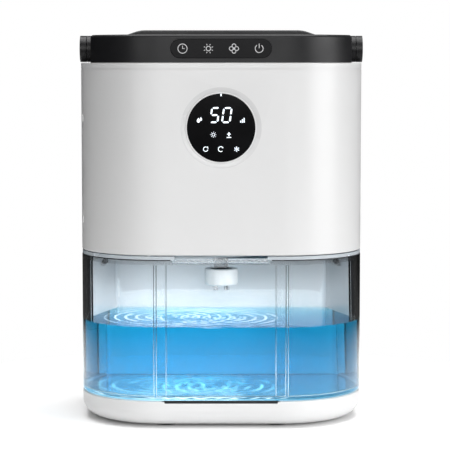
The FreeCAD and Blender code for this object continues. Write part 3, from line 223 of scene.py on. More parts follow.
# ---- feet and screws ----
# Four die-cut rubber pads are glued under the base. The screws are zinc-plated steel with a
# mottled sheen, driven into moulded bosses; the four in the column's cheeks are painted near
# black: painted shade for the deep counterbores they sit in.
rubber = moulded("foot_rubber", (0.03, 0.03, 0.03), (0.05, 0.05, 0.05), 0.7, 0.85,
                 grain_scale=900, depth=0.08)
finish_node(rubber, "rubber_feet")

steel, nodes, links, surface = new_material("plated_steel")
spot = nodes.new("ShaderNodeTexCoord")
rings = nodes.new("ShaderNodeTexNoise")
rings.inputs["Scale"].default_value = 1800
shade = nodes.new("ShaderNodeValToRGB")
shade.color_ramp.elements[0].color = (0.34, 0.34, 0.36, 1)
shade.color_ramp.elements[1].color = (0.62, 0.62, 0.64, 1)
wear = nodes.new("ShaderNodeMapRange")
wear.inputs["To Min"].default_value = 0.22
wear.inputs["To Max"].default_value = 0.45
surface.inputs["Metallic"].default_value = 1.0
links.new(spot.outputs["Object"], rings.inputs["Vector"])
links.new(rings.outputs["Fac"], shade.inputs["Fac"])
links.new(shade.outputs["Color"], surface.inputs["Base Color"])
links.new(rings.outputs["Fac"], wear.inputs["Value"])
links.new(wear.outputs["Result"], surface.inputs["Roughness"])
finish_node(steel, "base_screws", "housing_screws", "fan_screws", "clamp_screws",
            "board_screws", "handle_pins")
# Near black on the cheek screws: painted shade in their deep counterbores.
screw_painted_shade = moulded("screw_painted_shade", (0.012, 0.012, 0.013), (0.025, 0.025, 0.027), 0.35, 0.5,
                     grain_scale=1500, depth=0.03)
finish_node(screw_painted_shade, "spine_screws")

# ---- top cover, grille and handle ----
# Black ABS with a slightly coarser eroded texture. The handle is one moulding that snaps
# over two pins; a disc cap closes each end.
black_abs = moulded("black_abs", (0.007, 0.007, 0.008), (0.010, 0.010, 0.011), 0.34, 0.42,
                    grain_scale=1800, depth=0.04, shine=0.28)
smooth_shell("top_cover", "housing", black_abs)
smooth_shell("carry_handle", "handle", black_abs)
finish_node(black_abs, "outlet_grille", "handle_caps", "dc_inlet", "light_shield",
            "fan_frame", "fan_rotor")

# ---- display ----
# A round lens of smoked acrylic with a hard coat. The humidity shows in two slanted
# seven-bar figures and the modes in small lit marks, drawn just in front of the lens.
smoked = moulded("smoked_acrylic", (0.003, 0.003, 0.003), (0.005, 0.005, 0.006), 0.08, 0.14,
                 grain_scale=700, depth=0.004, shine=0.08)
smooth_shell("display_glass", "housing", smoked)

PROUD = 0.05 * MM
DIAL_FACE = lens_low[1] - PROUD


class Marks:
    """Flat shapes in millimetres on an upright face, collected into one thin mesh."""

    def __init__(self, name, across, up, face, thick=0.12):
        self.name, self.across, self.up = name, across, up
        self.face, self.thick = face, thick * MM
        self.form = bmesh.new()

    def polygon(self, points):
        """A filled outline with a little thickness."""
        front, back = [], []
        for x, z in points:
            place = Vector((x * MM + self.across, self.face, z * MM + self.up))
            front.append(self.form.verts.new(place))
            back.append(self.form.verts.new(place + Vector((0, self.thick, 0))))
        self.form.faces.new(front)
        self.form.faces.new(back[::-1])
        for i in range(len(front)):
            j = (i + 1) % len(front)
            self.form.faces.new((front[j], front[i], back[i], back[j]))

    def stroke(self, points, width, closed=False):
        """A line of even width through the points."""
        count = len(points)
        left, right = [], []
        for i, (x, z) in enumerate(points):
            before = points[i - 1] if closed or i else points[i]
            after = points[(i + 1) % count] if closed or i < count - 1 else points[i]
            along = Vector((after[0] - before[0], after[1] - before[1])).normalized()
            side = Vector((-along.y, along.x)) * width / 2
            left.append((x + side.x, z + side.y))
            right.append((x - side.x, z - side.y))
        for i in range(count if closed else count - 1):
            j = (i + 1) % count
            self.polygon([left[i], left[j], right[j], right[i]])

    def arc(self, x, z, radius, width, start=0, stop=360, steps=32):
        full = stop - start >= 360
        turns = [math.radians(start + (stop - start) * i / steps)
                 for i in range(steps if full else steps + 1)]
        points = [(x + radius * math.cos(a), z + radius * math.sin(a)) for a in turns]
        self.stroke(points, width, closed=full)

    def spokes(self, x, z, inner, outer, width, count, turn=0.0):
        for i in range(count):
            a = math.radians(360 * i / count + turn)
            self.stroke([(x + inner * math.cos(a), z + inner * math.sin(a)),
                         (x + outer * math.cos(a), z + outer * math.sin(a))], width)

    def dot(self, x, z, radius, steps=20):
        self.polygon([(x + radius * math.cos(2 * math.pi * i / steps),
                       z + radius * math.sin(2 * math.pi * i / steps))
                      for i in range(steps)])

    def finish(self, material):
        bmesh.ops.recalc_face_normals(self.form, faces=self.form.faces)
        mesh = bpy.data.meshes.new(self.name)
        self.form.to_mesh(mesh)
        self.form.free()
        mesh.materials.append(material)
        piece = bpy.data.objects.new(self.name, mesh)
        bpy.context.collection.objects.link(piece)
        return piece


def lit(name, colour, strength, spread=0.12):
    """A lit mark whose brightness falls off a little where its light block is thin."""
    material, nodes, links, surface = new_material(name)
    spot = nodes.new("ShaderNodeTexCoord")
    uneven = nodes.new("ShaderNodeTexNoise")
    uneven.inputs["Scale"].default_value = 350
    level = nodes.new("ShaderNodeMix")
    level.data_type = "RGBA"
    level.inputs["A"].default_value = (*[c * (1 - spread) for c in colour], 1)
    level.inputs["B"].default_value = (*colour, 1)
    links.new(spot.outputs["Object"], uneven.inputs["Vector"])
    links.new(uneven.outputs["Fac"], level.inputs["Factor"])
    links.new(level.outputs["Result"], surface.inputs["Base Color"])
    links.new(level.outputs["Result"], surface.inputs["Emission Color"])
    surface.inputs["Emission Strength"].default_value = strength
    surface.inputs["Roughness"].default_value = 0.4
    return material


white_light = lit("white_light", (0.86, 0.93, 1.0), 0.75)
BARS = {
    "top": ((0.12, 1.0), (0.88, 1.0)), "upper_left": ((0.0, 0.96), (0.0, 0.54)),
    "upper_right": ((1.0, 0.96), (1.0, 0.54)), "middle": ((0.12, 0.5), (0.88, 0.5)),
    "lower_left": ((0.0, 0.46), (0.0, 0.04)), "lower_right": ((1.0, 0.46), (1.0, 0.04)),
    "bottom": ((0.12, 0.0), (0.88, 0.0)),
}
FIGURES = {"5": ("top", "upper_left", "middle", "lower_right", "bottom"),
           "0": ("top", "upper_left", "upper_right", "lower_left", "lower_right", "bottom")}
BAR_WIDTH = 1.3


def draw_figure(marks, figure, left, base, wide, tall, lean=0.14):
    """A seven-bar figure: each bar is a long hexagon, and the whole leans to the right."""
    half = BAR_WIDTH / 2
    for bar in FIGURES[figure]:
        (x0, z0), (x1, z1) = BARS[bar]
        x0, x1 = left + x0 * wide, left + x1 * wide
        z0, z1 = z0 * tall, z1 * tall
        if z0 == z1:
            outline = [(x0 - 0.3, z0), (x0 + half, z0 + half), (x1 - half, z0 + half),
                       (x1 + 0.3, z0), (x1 - half, z0 - half), (x0 + half, z0 - half)]
        else:
            outline = [(x0, z0), (x0 + half, z0 - half), (x0 + half, z1 + half),
                       (x0, z1), (x0 - half, z1 + half), (x0 - half, z0 - half)]
        marks.polygon([(x + lean * z, z + base) for x, z in outline])


figures = Marks("humidity_figures", 0, LENS_UP, DIAL_FACE)
draw_figure(figures, "5", -8.4, 4.3, 5.6, 10.9)
draw_figure(figures, "0", 0.7, 4.3, 5.9, 10.9)
figures = figures.finish(white_light)

dial = Marks("mode_marks", 0, LENS_UP, DIAL_FACE)
dial.polygon([(-0.55, 26.0), (-0.45, 24.2), (0.45, 24.2), (0.55, 26.0)])
# drops: two beads with pointed tops
for x, z, size in ((-17.3, 5.2, 1.2), (-15.4, 6.4, 0.9)):
    dial.dot(x, z, size)
    dial.polygon([(x - size * 0.86, z + size * 0.5), (x + size * 0.86, z + size * 0.5),
                  (x, z + size * 2.1)])
# level bars where a room sensor's reading is shown
for i, tall in enumerate((1.6, 2.6, 3.6)):
    left = 14.6 + 1.3 * i
    dial.polygon([(left, 4.0), (left + 0.8, 4.0), (left + 0.8, 4.0 + tall),
                  (left, 4.0 + tall)])
# sun
dial.arc(-5.9, -5.2, 1.05, 0.3)
dial.spokes(-5.9, -5.2, 1.6, 2.3, 0.28, 8)
# fan setting: an arrow over a bar
dial.polygon([(4.5, -5.1), (7.5, -5.1), (6.0, -3.2)])
dial.polygon([(5.6, -6.5), (6.4, -6.5), (6.4, -5.1), (5.6, -5.1)])
dial.polygon([(4.2, -7.6), (7.8, -7.6), (7.8, -7.0), (4.2, -7.0)])
# automatic mode: an open ring with an arrow head
dial.arc(-11.8, -16.2, 1.7, 0.5, 60, 350)
dial.polygon([(-11.1, -15.2), (-9.6, -15.9), (-10.2, -14.0)])
# sleep mode: a crescent with a bead
dial.arc(-0.2, -16.2, 1.9, 0.55, 50, 310, steps=13)
dial.dot(1.3, -15.1, 0.45)
# cool mode: a six-armed flake
dial.spokes(11.9, -16.2, 0.2, 2.1, 0.34, 6, 30)
dial.spokes(11.9, -16.2, 1.35, 1.65, 1.0, 6, 30)
mode_marks = dial.finish(white_light)
for piece in (figures, mode_marks):
    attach(piece, "housing")

# ---- touch strip ----
# A glossy pill let into the fascia, with four printed marks over touch pads: timer,
# night light, fan and power. The grey print also glows faintly: painted light.
strip_gloss = moulded("strip_gloss", (0.006, 0.006, 0.0065), (0.009, 0.009, 0.010), 0.12, 0.2,
                      grain_scale=900, depth=0.006, shine=0.06)
smooth_shell("touch_strip", "housing", strip_gloss)
strip_low, strip_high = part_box("touch_strip")
STRIP_UP = (strip_low[2] + strip_high[2]) / 2
# Grey print with a faint glow: painted light.
grey_print_painted_glow = lit("grey_print_painted_glow", (0.55, 0.55, 0.56), 0.12)
touch = Marks("touch_marks", 0, STRIP_UP, strip_low[1] - PROUD)
LINE = 0.5
touch.arc(-29.3, 0, 3.5, LINE)
touch.stroke([(-29.3, 2.2), (-29.3, 0), (-27.7, 0)], LINE)
touch.arc(-9.6, 0, 1.7, LINE)
touch.spokes(-9.6, 0, 2.6, 3.7, LINE, 8, 22.5)
for x, z in ((2.1, 0), (0, 2.1), (-2.1, 0), (0, -2.1)):
    touch.arc(9.8 + x, z, 1.45, LINE, steps=20)
touch.dot(9.8, 0, 0.5)
touch.arc(29.0, 0, 3.0, LINE, -235, 55)
touch.stroke([(29.0, 0.4), (29.0, 3.8)], LINE)
touch_marks = touch.finish(grey_print_painted_glow)
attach(touch_marks, "housing")

# ---- tank, lid and seal ----
# The tank is one moulding of clear styrene-acrylonitrile. Its lid has a milky plate with
# clear parts below, carries the float's hooked post and clips on over a dark silicone seal.
# Two dark strips on the tank's shoulders are painted shade: they stand for the shadowed gap
# to the column.
clear_sheet, nodes, links, surface = new_material("clear_moulding")
spot = nodes.new("ShaderNodeTexCoord")
sink = nodes.new("ShaderNodeTexNoise")
sink.inputs["Scale"].default_value = 14
bump = nodes.new("ShaderNodeBump")
bump.inputs["Strength"].default_value = 0.15
bump.inputs["Distance"].default_value = 0.2 * MM
links.new(spot.outputs["Object"], sink.inputs["Vector"])
links.new(sink.outputs["Fac"], bump.inputs["Height"])
links.new(bump.outputs["Normal"], surface.inputs["Normal"])
surface.inputs["Base Color"].default_value = (0.99, 0.995, 1.0, 1)
surface.inputs["Roughness"].default_value = 0.02
surface.inputs["IOR"].default_value = 1.5
surface.inputs["Transmission Weight"].default_value = 1.0
clear_path = nodes.new("ShaderNodeLightPath")
clear_pass = nodes.new("ShaderNodeBsdfTransparent")
clear_pass.inputs["Color"].default_value = (0.98, 0.99, 1.0, 1)
clear_mix = nodes.new("ShaderNodeMixShader")
links.new(clear_path.outputs["Is Shadow Ray"], clear_mix.inputs["Fac"])
links.new(surface.outputs["BSDF"], clear_mix.inputs[1])
links.new(clear_pass.outputs["BSDF"], clear_mix.inputs[2])
links.new(clear_mix.outputs["Shader"], nodes["Material Output"].inputs["Surface"])
smooth_shell("tank", "water_tank", clear_sheet)
milky = moulded("milky_lid", (0.80, 0.86, 0.90), (0.76, 0.82, 0.87), 0.18, 0.28)
milky.node_tree.nodes["Principled BSDF"].inputs["Transmission Weight"].default_value = 0.45
lid = smooth_shell("tank_lid", "water_tank", milky)
lid.data.materials.append(clear_sheet)
PLATE_THICK = 2.7 * MM
plate_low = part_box("tank_lid")[1][2] - PLATE_THICK
for face in lid.data.polygons:
    if face.center.z < plate_low:
        face.material_index = 1
# Near-black silicone for the lid's seal; the same near black on the edge strips is painted
# shade for the gap to the column.
seal_and_gap_shade = moulded("seal_silicone_and_gap_shade", (0.012, 0.013, 0.015), (0.02, 0.022, 0.025), 0.5, 0.65,
                      grain_scale=1200, depth=0.03, shine=0.2)
finish_node(seal_and_gap_shade, "lid_seal", "edge_seals")

# ---- water ----
# About 1.2 litres of collected water, tinted blue. Drops have set two sets of rings running
# over its surface; glowing lines along them are painted highlights. Their light on the tank's
# floor is painted light too: a second, fainter pattern over a faint painted blue glow.
tank_low, tank_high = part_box("tank")
WALL = 2.6 * MM
WATER_LEVEL = tank_low[2] + 57.2 * MM
FLOOR_UP = tank_low[2] + WALL
FRONT_RADIUS = 65 * MM
SHOULDER = 4.4 * MM
CHEEK_SLOPE = 17.5 / 55
FRONT_STEPS, CHEEK_STEPS, BACK_STEPS, CORNER_STEPS = 9, 16, 13, 26


def tank_outline(inset):
    """The tank's inner plan: round front corners, straight cheeks, a straight back."""
    side, front = tank_high[0] - inset, tank_low[1] + inset
    radius = FRONT_RADIUS - inset
    back = tank_high[1] - inset
    hub_x, hub_y = side - radius, front + radius
    right = []
    for i in range(FRONT_STEPS):
        right.append((hub_x * i / FRONT_STEPS, front))
    for i in range(CORNER_STEPS + 1):
        a = -math.pi / 2 + math.pi / 2 * i / CORNER_STEPS
        right.append((hub_x + radius * math.cos(a), hub_y + radius * math.sin(a)))
    shoulder = side - SHOULDER - inset * 0.1
    start = hub_y + SHOULDER - inset
    right.append((side, start))
    right.append((shoulder, start))
    foot_x = shoulder - (back - start) * CHEEK_SLOPE
    for i in range(1, CHEEK_STEPS + 1):
        t = i / CHEEK_STEPS
        right.append((shoulder + (foot_x - shoulder) * t, start + (back - start) * t))
    for i in range(1, BACK_STEPS + 1):
        right.append((foot_x * (1 - i / BACK_STEPS), back))
    left = [(-x, y) for x, y in reversed(right[1:-1])]
    return right + left


DROPS = ((-39, -12), (-2, -18))
RING_HEIGHT, RING_REACH, RING_PITCH, RING_START = 0.22, 42, 8.4, 4


def ripple(x, y):
    """Height of the rings that spread from the two places where drops fell."""
    height = 0.0
    for cx, cy in DROPS:
        distance = math.hypot(x / MM - cx, y / MM - cy)
        fade = math.exp(-distance / RING_REACH) * min(1.0, distance / RING_START)
        height += RING_HEIGHT * fade * math.cos(2 * math.pi * distance / RING_PITCH)
    return height * MM


OVERLAP = 0.05 * MM
water_edge = tank_outline(WALL - OVERLAP)
WATER_RINGS = 46
form = bmesh.new()
HUB = (0.0, -14 * MM)


def water_sheet(level, wave=lambda x, y: 0.0):
    """A closed fan of rings over the plan, at a height that the wave moves."""
    rows = []
    for ring in range(1, WATER_RINGS + 1):
        t = ring / WATER_RINGS
        row = []
        for x, y in water_edge:
            px, py = HUB[0] + (x - HUB[0]) * t, HUB[1] + (y - HUB[1]) * t
            row.append(form.verts.new((px, py, level + wave(px, py))))
        rows.append(row)
    centre = form.verts.new((*HUB, level + wave(*HUB)))
    count = len(water_edge)
    for i in range(count):
        form.faces.new((centre, rows[0][i], rows[0][(i + 1) % count]))
    for inner, outer in zip(rows, rows[1:]):
        for i in range(count):
            j = (i + 1) % count
            form.faces.new((inner[i], outer[i], outer[j], inner[j]))
    return rows[-1]


top_edge = water_sheet(WATER_LEVEL, ripple)
low_edge = water_sheet(FLOOR_UP - OVERLAP)
for i in range(len(water_edge)):
    j = (i + 1) % len(water_edge)
    form.faces.new((top_edge[i], low_edge[i], low_edge[j], top_edge[j]))
bmesh.ops.recalc_face_normals(form, faces=form.faces)
for face in form.faces:
    face.smooth = True
for edge in form.edges:
    edge.smooth = edge.calc_face_angle(0) < math.radians(40)
water_mesh = bpy.data.meshes.new("water")
form.to_mesh(water_mesh)
form.free()
water = bpy.data.objects.new("water", water_mesh)
bpy.context.collection.objects.link(water)

blue_water, nodes, links, surface = new_material("blue_water")
spot = nodes.new("ShaderNodeTexCoord")
swirl = nodes.new("ShaderNodeTexNoise")
swirl.inputs["Scale"].default_value = 60
bump = nodes.new("ShaderNodeBump")
bump.inputs["Strength"].default_value = 0.2
bump.inputs["Distance"].default_value = 0.15 * MM
links.new(spot.outputs["Object"], swirl.inputs["Vector"])
links.new(swirl.outputs["Fac"], bump.inputs["Height"])
links.new(bump.outputs["Normal"], surface.inputs["Normal"])
surface.inputs["Base Color"].default_value = (0.86, 0.97, 1.0, 1)
drops, drops_in, drops_out = new_group(
    "ring_light",
    [("Left", "NodeSocketVector", (0, 0, 0)), ("Right", "NodeSocketVector", (0, 0, 0)),
     ("Pitch", FLOAT, 0.007), ("Swirl", FLOAT, 0.004), ("Edge", FLOAT, 0.8)],
    [("Mask", FLOAT)])
spot = drops.nodes.new("ShaderNodeTexCoord")
stir = drops.nodes.new("ShaderNodeTexNoise")
stir.inputs["Scale"].default_value = 20
stir.inputs["Detail"].default_value = 3
centred = drops.nodes.new("ShaderNodeVectorMath")
centred.operation = "SUBTRACT"
centred.inputs[1].default_value = (0.5, 0.5, 0.5)
pull = drops.nodes.new("ShaderNodeVectorMath")
pull.operation = "SCALE"
moved = drops.nodes.new("ShaderNodeVectorMath")
moved.operation = "ADD"
drops.links.new(spot.outputs["Object"], stir.inputs["Vector"])
drops.links.new(stir.outputs["Color"], centred.inputs[0])
drops.links.new(centred.outputs["Vector"], pull.inputs[0])
drops.links.new(drops_in.outputs["Swirl"], pull.inputs["Scale"])
drops.links.new(spot.outputs["Object"], moved.inputs[0])
drops.links.new(pull.outputs["Vector"], moved.inputs[1])
crests = []
for label in ("Left", "Right"):
    apart = drops.nodes.new("ShaderNodeVectorMath")
    apart.operation = "DISTANCE"
    beats = drops.nodes.new("ShaderNodeMath")
    beats.operation = "DIVIDE"
    swing = drops.nodes.new("ShaderNodeMath")
    swing.operation = "PINGPONG"
    swing.inputs[1].default_value = 1.0
    thin = drops.nodes.new("ShaderNodeMapRange")
    thin.interpolation_type = "SMOOTHSTEP"
    near = drops.nodes.new("ShaderNodeMapRange")
    near.inputs["From Min"].default_value = 62 * MM
    near.inputs["From Max"].default_value = 45 * MM
    level = drops.nodes.new("ShaderNodeMath")
    level.operation = "MULTIPLY"
    drops.links.new(moved.outputs["Vector"], apart.inputs[0])
    drops.links.new(drops_in.outputs[label], apart.inputs[1])
    drops.links.new(apart.outputs["Value"], beats.inputs[0])
    drops.links.new(drops_in.outputs["Pitch"], beats.inputs[1])
    drops.links.new(beats.outputs["Value"], swing.inputs[0])
    drops.links.new(swing.outputs["Value"], thin.inputs["Value"])
    drops.links.new(drops_in.outputs["Edge"], thin.inputs["From Min"])
    drops.links.new(apart.outputs["Value"], near.inputs["Value"])
    drops.links.new(thin.outputs["Result"], level.inputs[0])
    drops.links.new(near.outputs["Result"], level.inputs[1])
    crests.append(level)
either = drops.nodes.new("ShaderNodeMath")
either.operation = "MAXIMUM"
patch = drops.nodes.new("ShaderNodeTexNoise")
patch.inputs["Scale"].default_value = 55
broken = drops.nodes.new("ShaderNodeMapRange")
broken.inputs["From Min"].default_value = 0.34
broken.inputs["From Max"].default_value = 0.52
lines = drops.nodes.new("ShaderNodeMath")
lines.operation = "MULTIPLY"
drops.links.new(crests[0].outputs["Value"], either.inputs[0])
drops.links.new(crests[1].outputs["Value"], either.inputs[1])
drops.links.new(spot.outputs["Object"], patch.inputs["Vector"])
drops.links.new(patch.outputs["Fac"], broken.inputs["Value"])
drops.links.new(either.outputs["Value"], lines.inputs[0])
drops.links.new(broken.outputs["Result"], lines.inputs[1])
drops.links.new(lines.outputs["Value"], drops_out.inputs["Mask"])
spot = nodes.new("ShaderNodeTexCoord")
height = nodes.new("ShaderNodeSeparateXYZ")
links.new(spot.outputs["Object"], height.inputs["Vector"])
# Painted light: an emitted glow along the rings in a thin band at the surface (painted
# highlights) and at the tank's floor (painted caustic lines over a faint painted blue glow).
glints = []
SURFACE_BAND = (WATER_LEVEL - 0.9 * MM, WATER_LEVEL - 0.6 * MM)
FLOOR_BAND = (FLOOR_UP + 0.3 * MM, FLOOR_UP + 0.1 * MM)
for up, limits, pitch, swirl, edge, shade, colour in (
        (WATER_LEVEL, SURFACE_BAND, 0.0042, 0.004, 0.62, (0, 0, 0, 1), (0.95, 1.0, 1.0, 1)),
        (FLOOR_UP, FLOOR_BAND, 0.0050, 0.008, 0.50, (0.012, 0.07, 0.12, 1),
         (0.60, 0.76, 0.82, 1))):
    rings = nodes.new("ShaderNodeGroup")
    rings.node_tree = drops
    for label, (x, y) in zip(("Left", "Right"), DROPS):
        rings.inputs[label].default_value = (x * MM, y * MM, up)
    rings.inputs["Pitch"].default_value = pitch
    rings.inputs["Swirl"].default_value = swirl
    rings.inputs["Edge"].default_value = edge
    here = nodes.new("ShaderNodeMapRange")
    here.inputs["From Min"].default_value, here.inputs["From Max"].default_value = limits
    glint = nodes.new("ShaderNodeMix")
    glint.data_type = "RGBA"
    glint.inputs["A"].default_value = shade
    glint.inputs["B"].default_value = colour
    links.new(height.outputs["Z"], here.inputs["Value"])
    links.new(rings.outputs["Mask"], glint.inputs["Factor"])
    held = nodes.new("ShaderNodeMix")
    held.data_type = "RGBA"
    held.inputs["A"].default_value = (0, 0, 0, 1)
    links.new(here.outputs["Result"], held.inputs["Factor"])
    links.new(glint.outputs["Result"], held.inputs["B"])
    glints.append(held)
sparkle = nodes.new("ShaderNodeMix")
sparkle.data_type = "RGBA"
sparkle.blend_type = "ADD"
sparkle.inputs["Factor"].default_value = 1.0
links.new(glints[0].outputs["Result"], sparkle.inputs["A"])
links.new(glints[1].outputs["Result"], sparkle.inputs["B"])
links.new(sparkle.outputs["Result"], surface.inputs["Emission Color"])
surface.inputs["Emission Strength"].default_value = 1.0
surface.inputs["Roughness"].default_value = 0.0
surface.inputs["IOR"].default_value = 1.1
surface.inputs["Transmission Weight"].default_value = 1.0
blue_path = nodes.new("ShaderNodeLightPath")
blue_pass = nodes.new("ShaderNodeBsdfTransparent")
blue_pass.inputs["Color"].default_value = (0.95, 0.99, 1.0, 1)
blue_mix = nodes.new("ShaderNodeMixShader")
links.new(blue_path.outputs["Is Shadow Ray"], blue_mix.inputs["Fac"])
links.new(surface.outputs["BSDF"], blue_mix.inputs[1])
links.new(blue_pass.outputs["BSDF"], blue_mix.inputs[2])
links.new(blue_mix.outputs["Shader"], nodes["Material Output"].inputs["Surface"])
depth = nodes.new("ShaderNodeVolumeAbsorption")
depth.inputs["Color"].default_value = (0.016, 0.765, 0.90, 1)
depth.inputs["Density"].default_value = 21
links.new(depth.outputs["Volume"], nodes["Material Output"].inputs["Volume"])
water_mesh.materials.append(blue_water)
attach(water, "water_tank")

# ---- float ----
# A hollow white polypropylene float that slides on the lid's post; a pressed ferrite ring
# in its top trips the reed switch above when the tank is full.
float_white = moulded("float_white", (0.84, 0.84, 0.84), (0.80, 0.80, 0.80), 0.38, 0.45)
smooth_shell("float_ring", "float", float_white)
ferrite = moulded("ferrite", (0.02, 0.02, 0.022), (0.05, 0.05, 0.055), 0.5, 0.7,
                  grain_scale=1500, depth=0.1)
finish_node(ferrite, "float_magnet")

# ---- works inside the body ----
# Extruded aluminium sinks clamp a ceramic Peltier cell in a foam frame; a tray under the
# cold one drips into the tank. Boards are green glass-fibre with black parts.
grey_abs = moulded("grey_abs", (0.42, 0.43, 0.44), (0.36, 0.37, 0.38), 0.42, 0.55)
finish_node(grey_abs, "air_duct", "drip_tray", "filter_frame")
ceramic = moulded("white_ceramic", (0.82, 0.82, 0.80), (0.74, 0.74, 0.72), 0.5, 0.65)
finish_node(ceramic, "peltier_cell", "digit_display")
foam = moulded("black_foam", (0.02, 0.02, 0.02), (0.04, 0.04, 0.04), 0.85, 0.95,
               grain_scale=600, depth=0.3)
finish_node(foam, "foam_gasket")
parts_black = moulded("component_black", (0.02, 0.02, 0.022), (0.05, 0.05, 0.05), 0.3, 0.5)
finish_node(parts_black, "board_parts")
reed = moulded("reed_glass", (0.25, 0.35, 0.30), (0.35, 0.45, 0.40), 0.08, 0.2)
finish_node(reed, "reed_switch")

sink_metal, nodes, links, surface = new_material("extruded_aluminium")
spot = nodes.new("ShaderNodeTexCoord")
stretch = nodes.new("ShaderNodeMapping")
stretch.inputs["Scale"].default_value = (900, 900, 12)
lines = nodes.new("ShaderNodeTexNoise")
lines.inputs["Scale"].default_value = 1.0
tone = nodes.new("ShaderNodeValToRGB")
tone.color_ramp.elements[0].color = (0.55, 0.56, 0.58, 1)
tone.color_ramp.elements[1].color = (0.80, 0.81, 0.83, 1)
surface.inputs["Metallic"].default_value = 1.0
surface.inputs["Roughness"].default_value = 0.38
links.new(spot.outputs["Object"], stretch.inputs["Vector"])
links.new(stretch.outputs["Vector"], lines.inputs["Vector"])
links.new(lines.outputs["Fac"], tone.inputs["Fac"])
links.new(tone.outputs["Color"], surface.inputs["Base Color"])
finish_node(sink_metal, "hot_sink", "cold_sink")

board_green, nodes, links, surface = new_material("board_green")
spot = nodes.new("ShaderNodeTexCoord")
tracks = nodes.new("ShaderNodeTexBrick")
tracks.inputs["Scale"].default_value = 220
tracks.inputs["Color1"].default_value = (0.010, 0.115, 0.035, 1)
tracks.inputs["Color2"].default_value = (0.013, 0.140, 0.045, 1)
tracks.inputs["Mortar"].default_value = (0.05, 0.22, 0.09, 1)
surface.inputs["Roughness"].default_value = 0.35
links.new(spot.outputs["Object"], tracks.inputs["Vector"])
links.new(tracks.outputs["Color"], surface.inputs["Base Color"])
finish_node(board_green, "display_board", "touch_board", "main_board", "humidity_sensor")

# ---- intake panel and filter ----
# The white ABS grille unclips to the back with its filter frame. The filter is a net of
# nylon threads, welded into the frame: one row of upright threads and one of level ones.
smooth_shell("intake_grille", "intake", white_abs)
mesh_grey = moulded("mesh_nylon", (0.05, 0.05, 0.055), (0.08, 0.08, 0.085), 0.5, 0.7)
THREAD = 0.2 * MM
NET_PITCH = 1.6 * MM
WANDER = 0.001
net_low, net_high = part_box("filter_mesh")
net_wide, net_tall = net_high[0] - net_low[0], net_high[2] - net_low[2]

weave = bpy.data.node_groups.new("woven_net", "GeometryNodeTree")
for label, kind in (("Wide", "Float"), ("High", "Float"), ("Across", "Int"), ("Up", "Int"),
                    ("Thread", "Float"), ("Seed", "Int"), ("Finish", "Material")):
    weave.interface.new_socket(label, in_out="INPUT", socket_type="NodeSocket" + kind)
weave.interface.new_socket("Geometry", in_out="OUTPUT", socket_type="NodeSocketGeometry")
weave_in = weave.nodes.new("NodeGroupInput")
weave_out = weave.nodes.new("NodeGroupOutput")
both_ways = weave.nodes.new("GeometryNodeJoinGeometry")
for count, run, span, axis, turn in (("Across", "High", "Wide", "X", 0.0),
                                     ("Up", "Wide", "High", "Z", math.pi / 2)):
    thread = weave.nodes.new("GeometryNodeMeshCylinder")
    thread.inputs["Vertices"].default_value = 4
    weave.links.new(weave_in.outputs["Thread"], thread.inputs["Radius"])
    weave.links.new(weave_in.outputs[run], thread.inputs["Depth"])
    row = weave.nodes.new("GeometryNodeMeshLine")
    row.mode = "END_POINTS"
    weave.links.new(weave_in.outputs[count], row.inputs["Count"])
    for end, share in (("Start Location", -0.5), ("Offset", 0.5)):
        part = weave.nodes.new("ShaderNodeMath")
        part.operation = "MULTIPLY"
        part.inputs[1].default_value = share
        place = weave.nodes.new("ShaderNodeCombineXYZ")
        weave.links.new(weave_in.outputs[span], part.inputs[0])
        weave.links.new(part.outputs["Value"], place.inputs[axis])
        weave.links.new(place.outputs["Vector"], row.inputs[end])
    tilt = weave.nodes.new("FunctionNodeRandomValue")
    tilt.inputs[2].default_value = turn - WANDER
    tilt.inputs[3].default_value = turn + WANDER
    weave.links.new(weave_in.outputs["Seed"], tilt.inputs["Seed"])
    turned = weave.nodes.new("ShaderNodeCombineXYZ")
    weave.links.new(tilt.outputs[1], turned.inputs["Y"])
    spread = weave.nodes.new("GeometryNodeInstanceOnPoints")
    weave.links.new(row.outputs["Mesh"], spread.inputs["Points"])
    weave.links.new(thread.outputs["Mesh"], spread.inputs["Instance"])
    weave.links.new(turned.outputs["Vector"], spread.inputs["Rotation"])
    weave.links.new(spread.outputs["Instances"], both_ways.inputs["Geometry"])
real = weave.nodes.new("GeometryNodeRealizeInstances")
dressed = weave.nodes.new("GeometryNodeSetMaterial")
weave.links.new(both_ways.outputs["Geometry"], real.inputs["Geometry"])
weave.links.new(real.outputs["Geometry"], dressed.inputs["Geometry"])
weave.links.new(weave_in.outputs["Finish"], dressed.inputs["Material"])
weave.links.new(dressed.outputs["Geometry"], weave_out.inputs["Geometry"])

net = bpy.data.objects.new("filter_net", bpy.data.meshes.new("filter_net_start"))
bpy.context.collection.objects.link(net)
woven = net.modifiers.new("woven_net", "NODES")
woven.node_group = weave
settings = {"Wide": net_wide - 2 * THREAD, "High": net_tall - 2 * THREAD,
            "Across": int(net_wide / NET_PITCH), "Up": int(net_tall / NET_PITCH),
            "Thread": THREAD, "Seed": 7, "Finish": mesh_grey}
for item in weave.interface.items_tree:
    if item.name in settings:
        woven[item.identifier] = settings[item.name]
bpy.context.view_layer.update()
evaluated = net.evaluated_get(bpy.context.evaluated_depsgraph_get())
woven_mesh = bpy.data.meshes.new_from_object(evaluated)
net.modifiers.remove(woven)
woven_mesh.transform(Matrix.Translation([(a + b) / 2 for a, b in zip(net_low, net_high)]))
net.data = woven_mesh
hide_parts("filter_mesh")
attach(net, "intake")

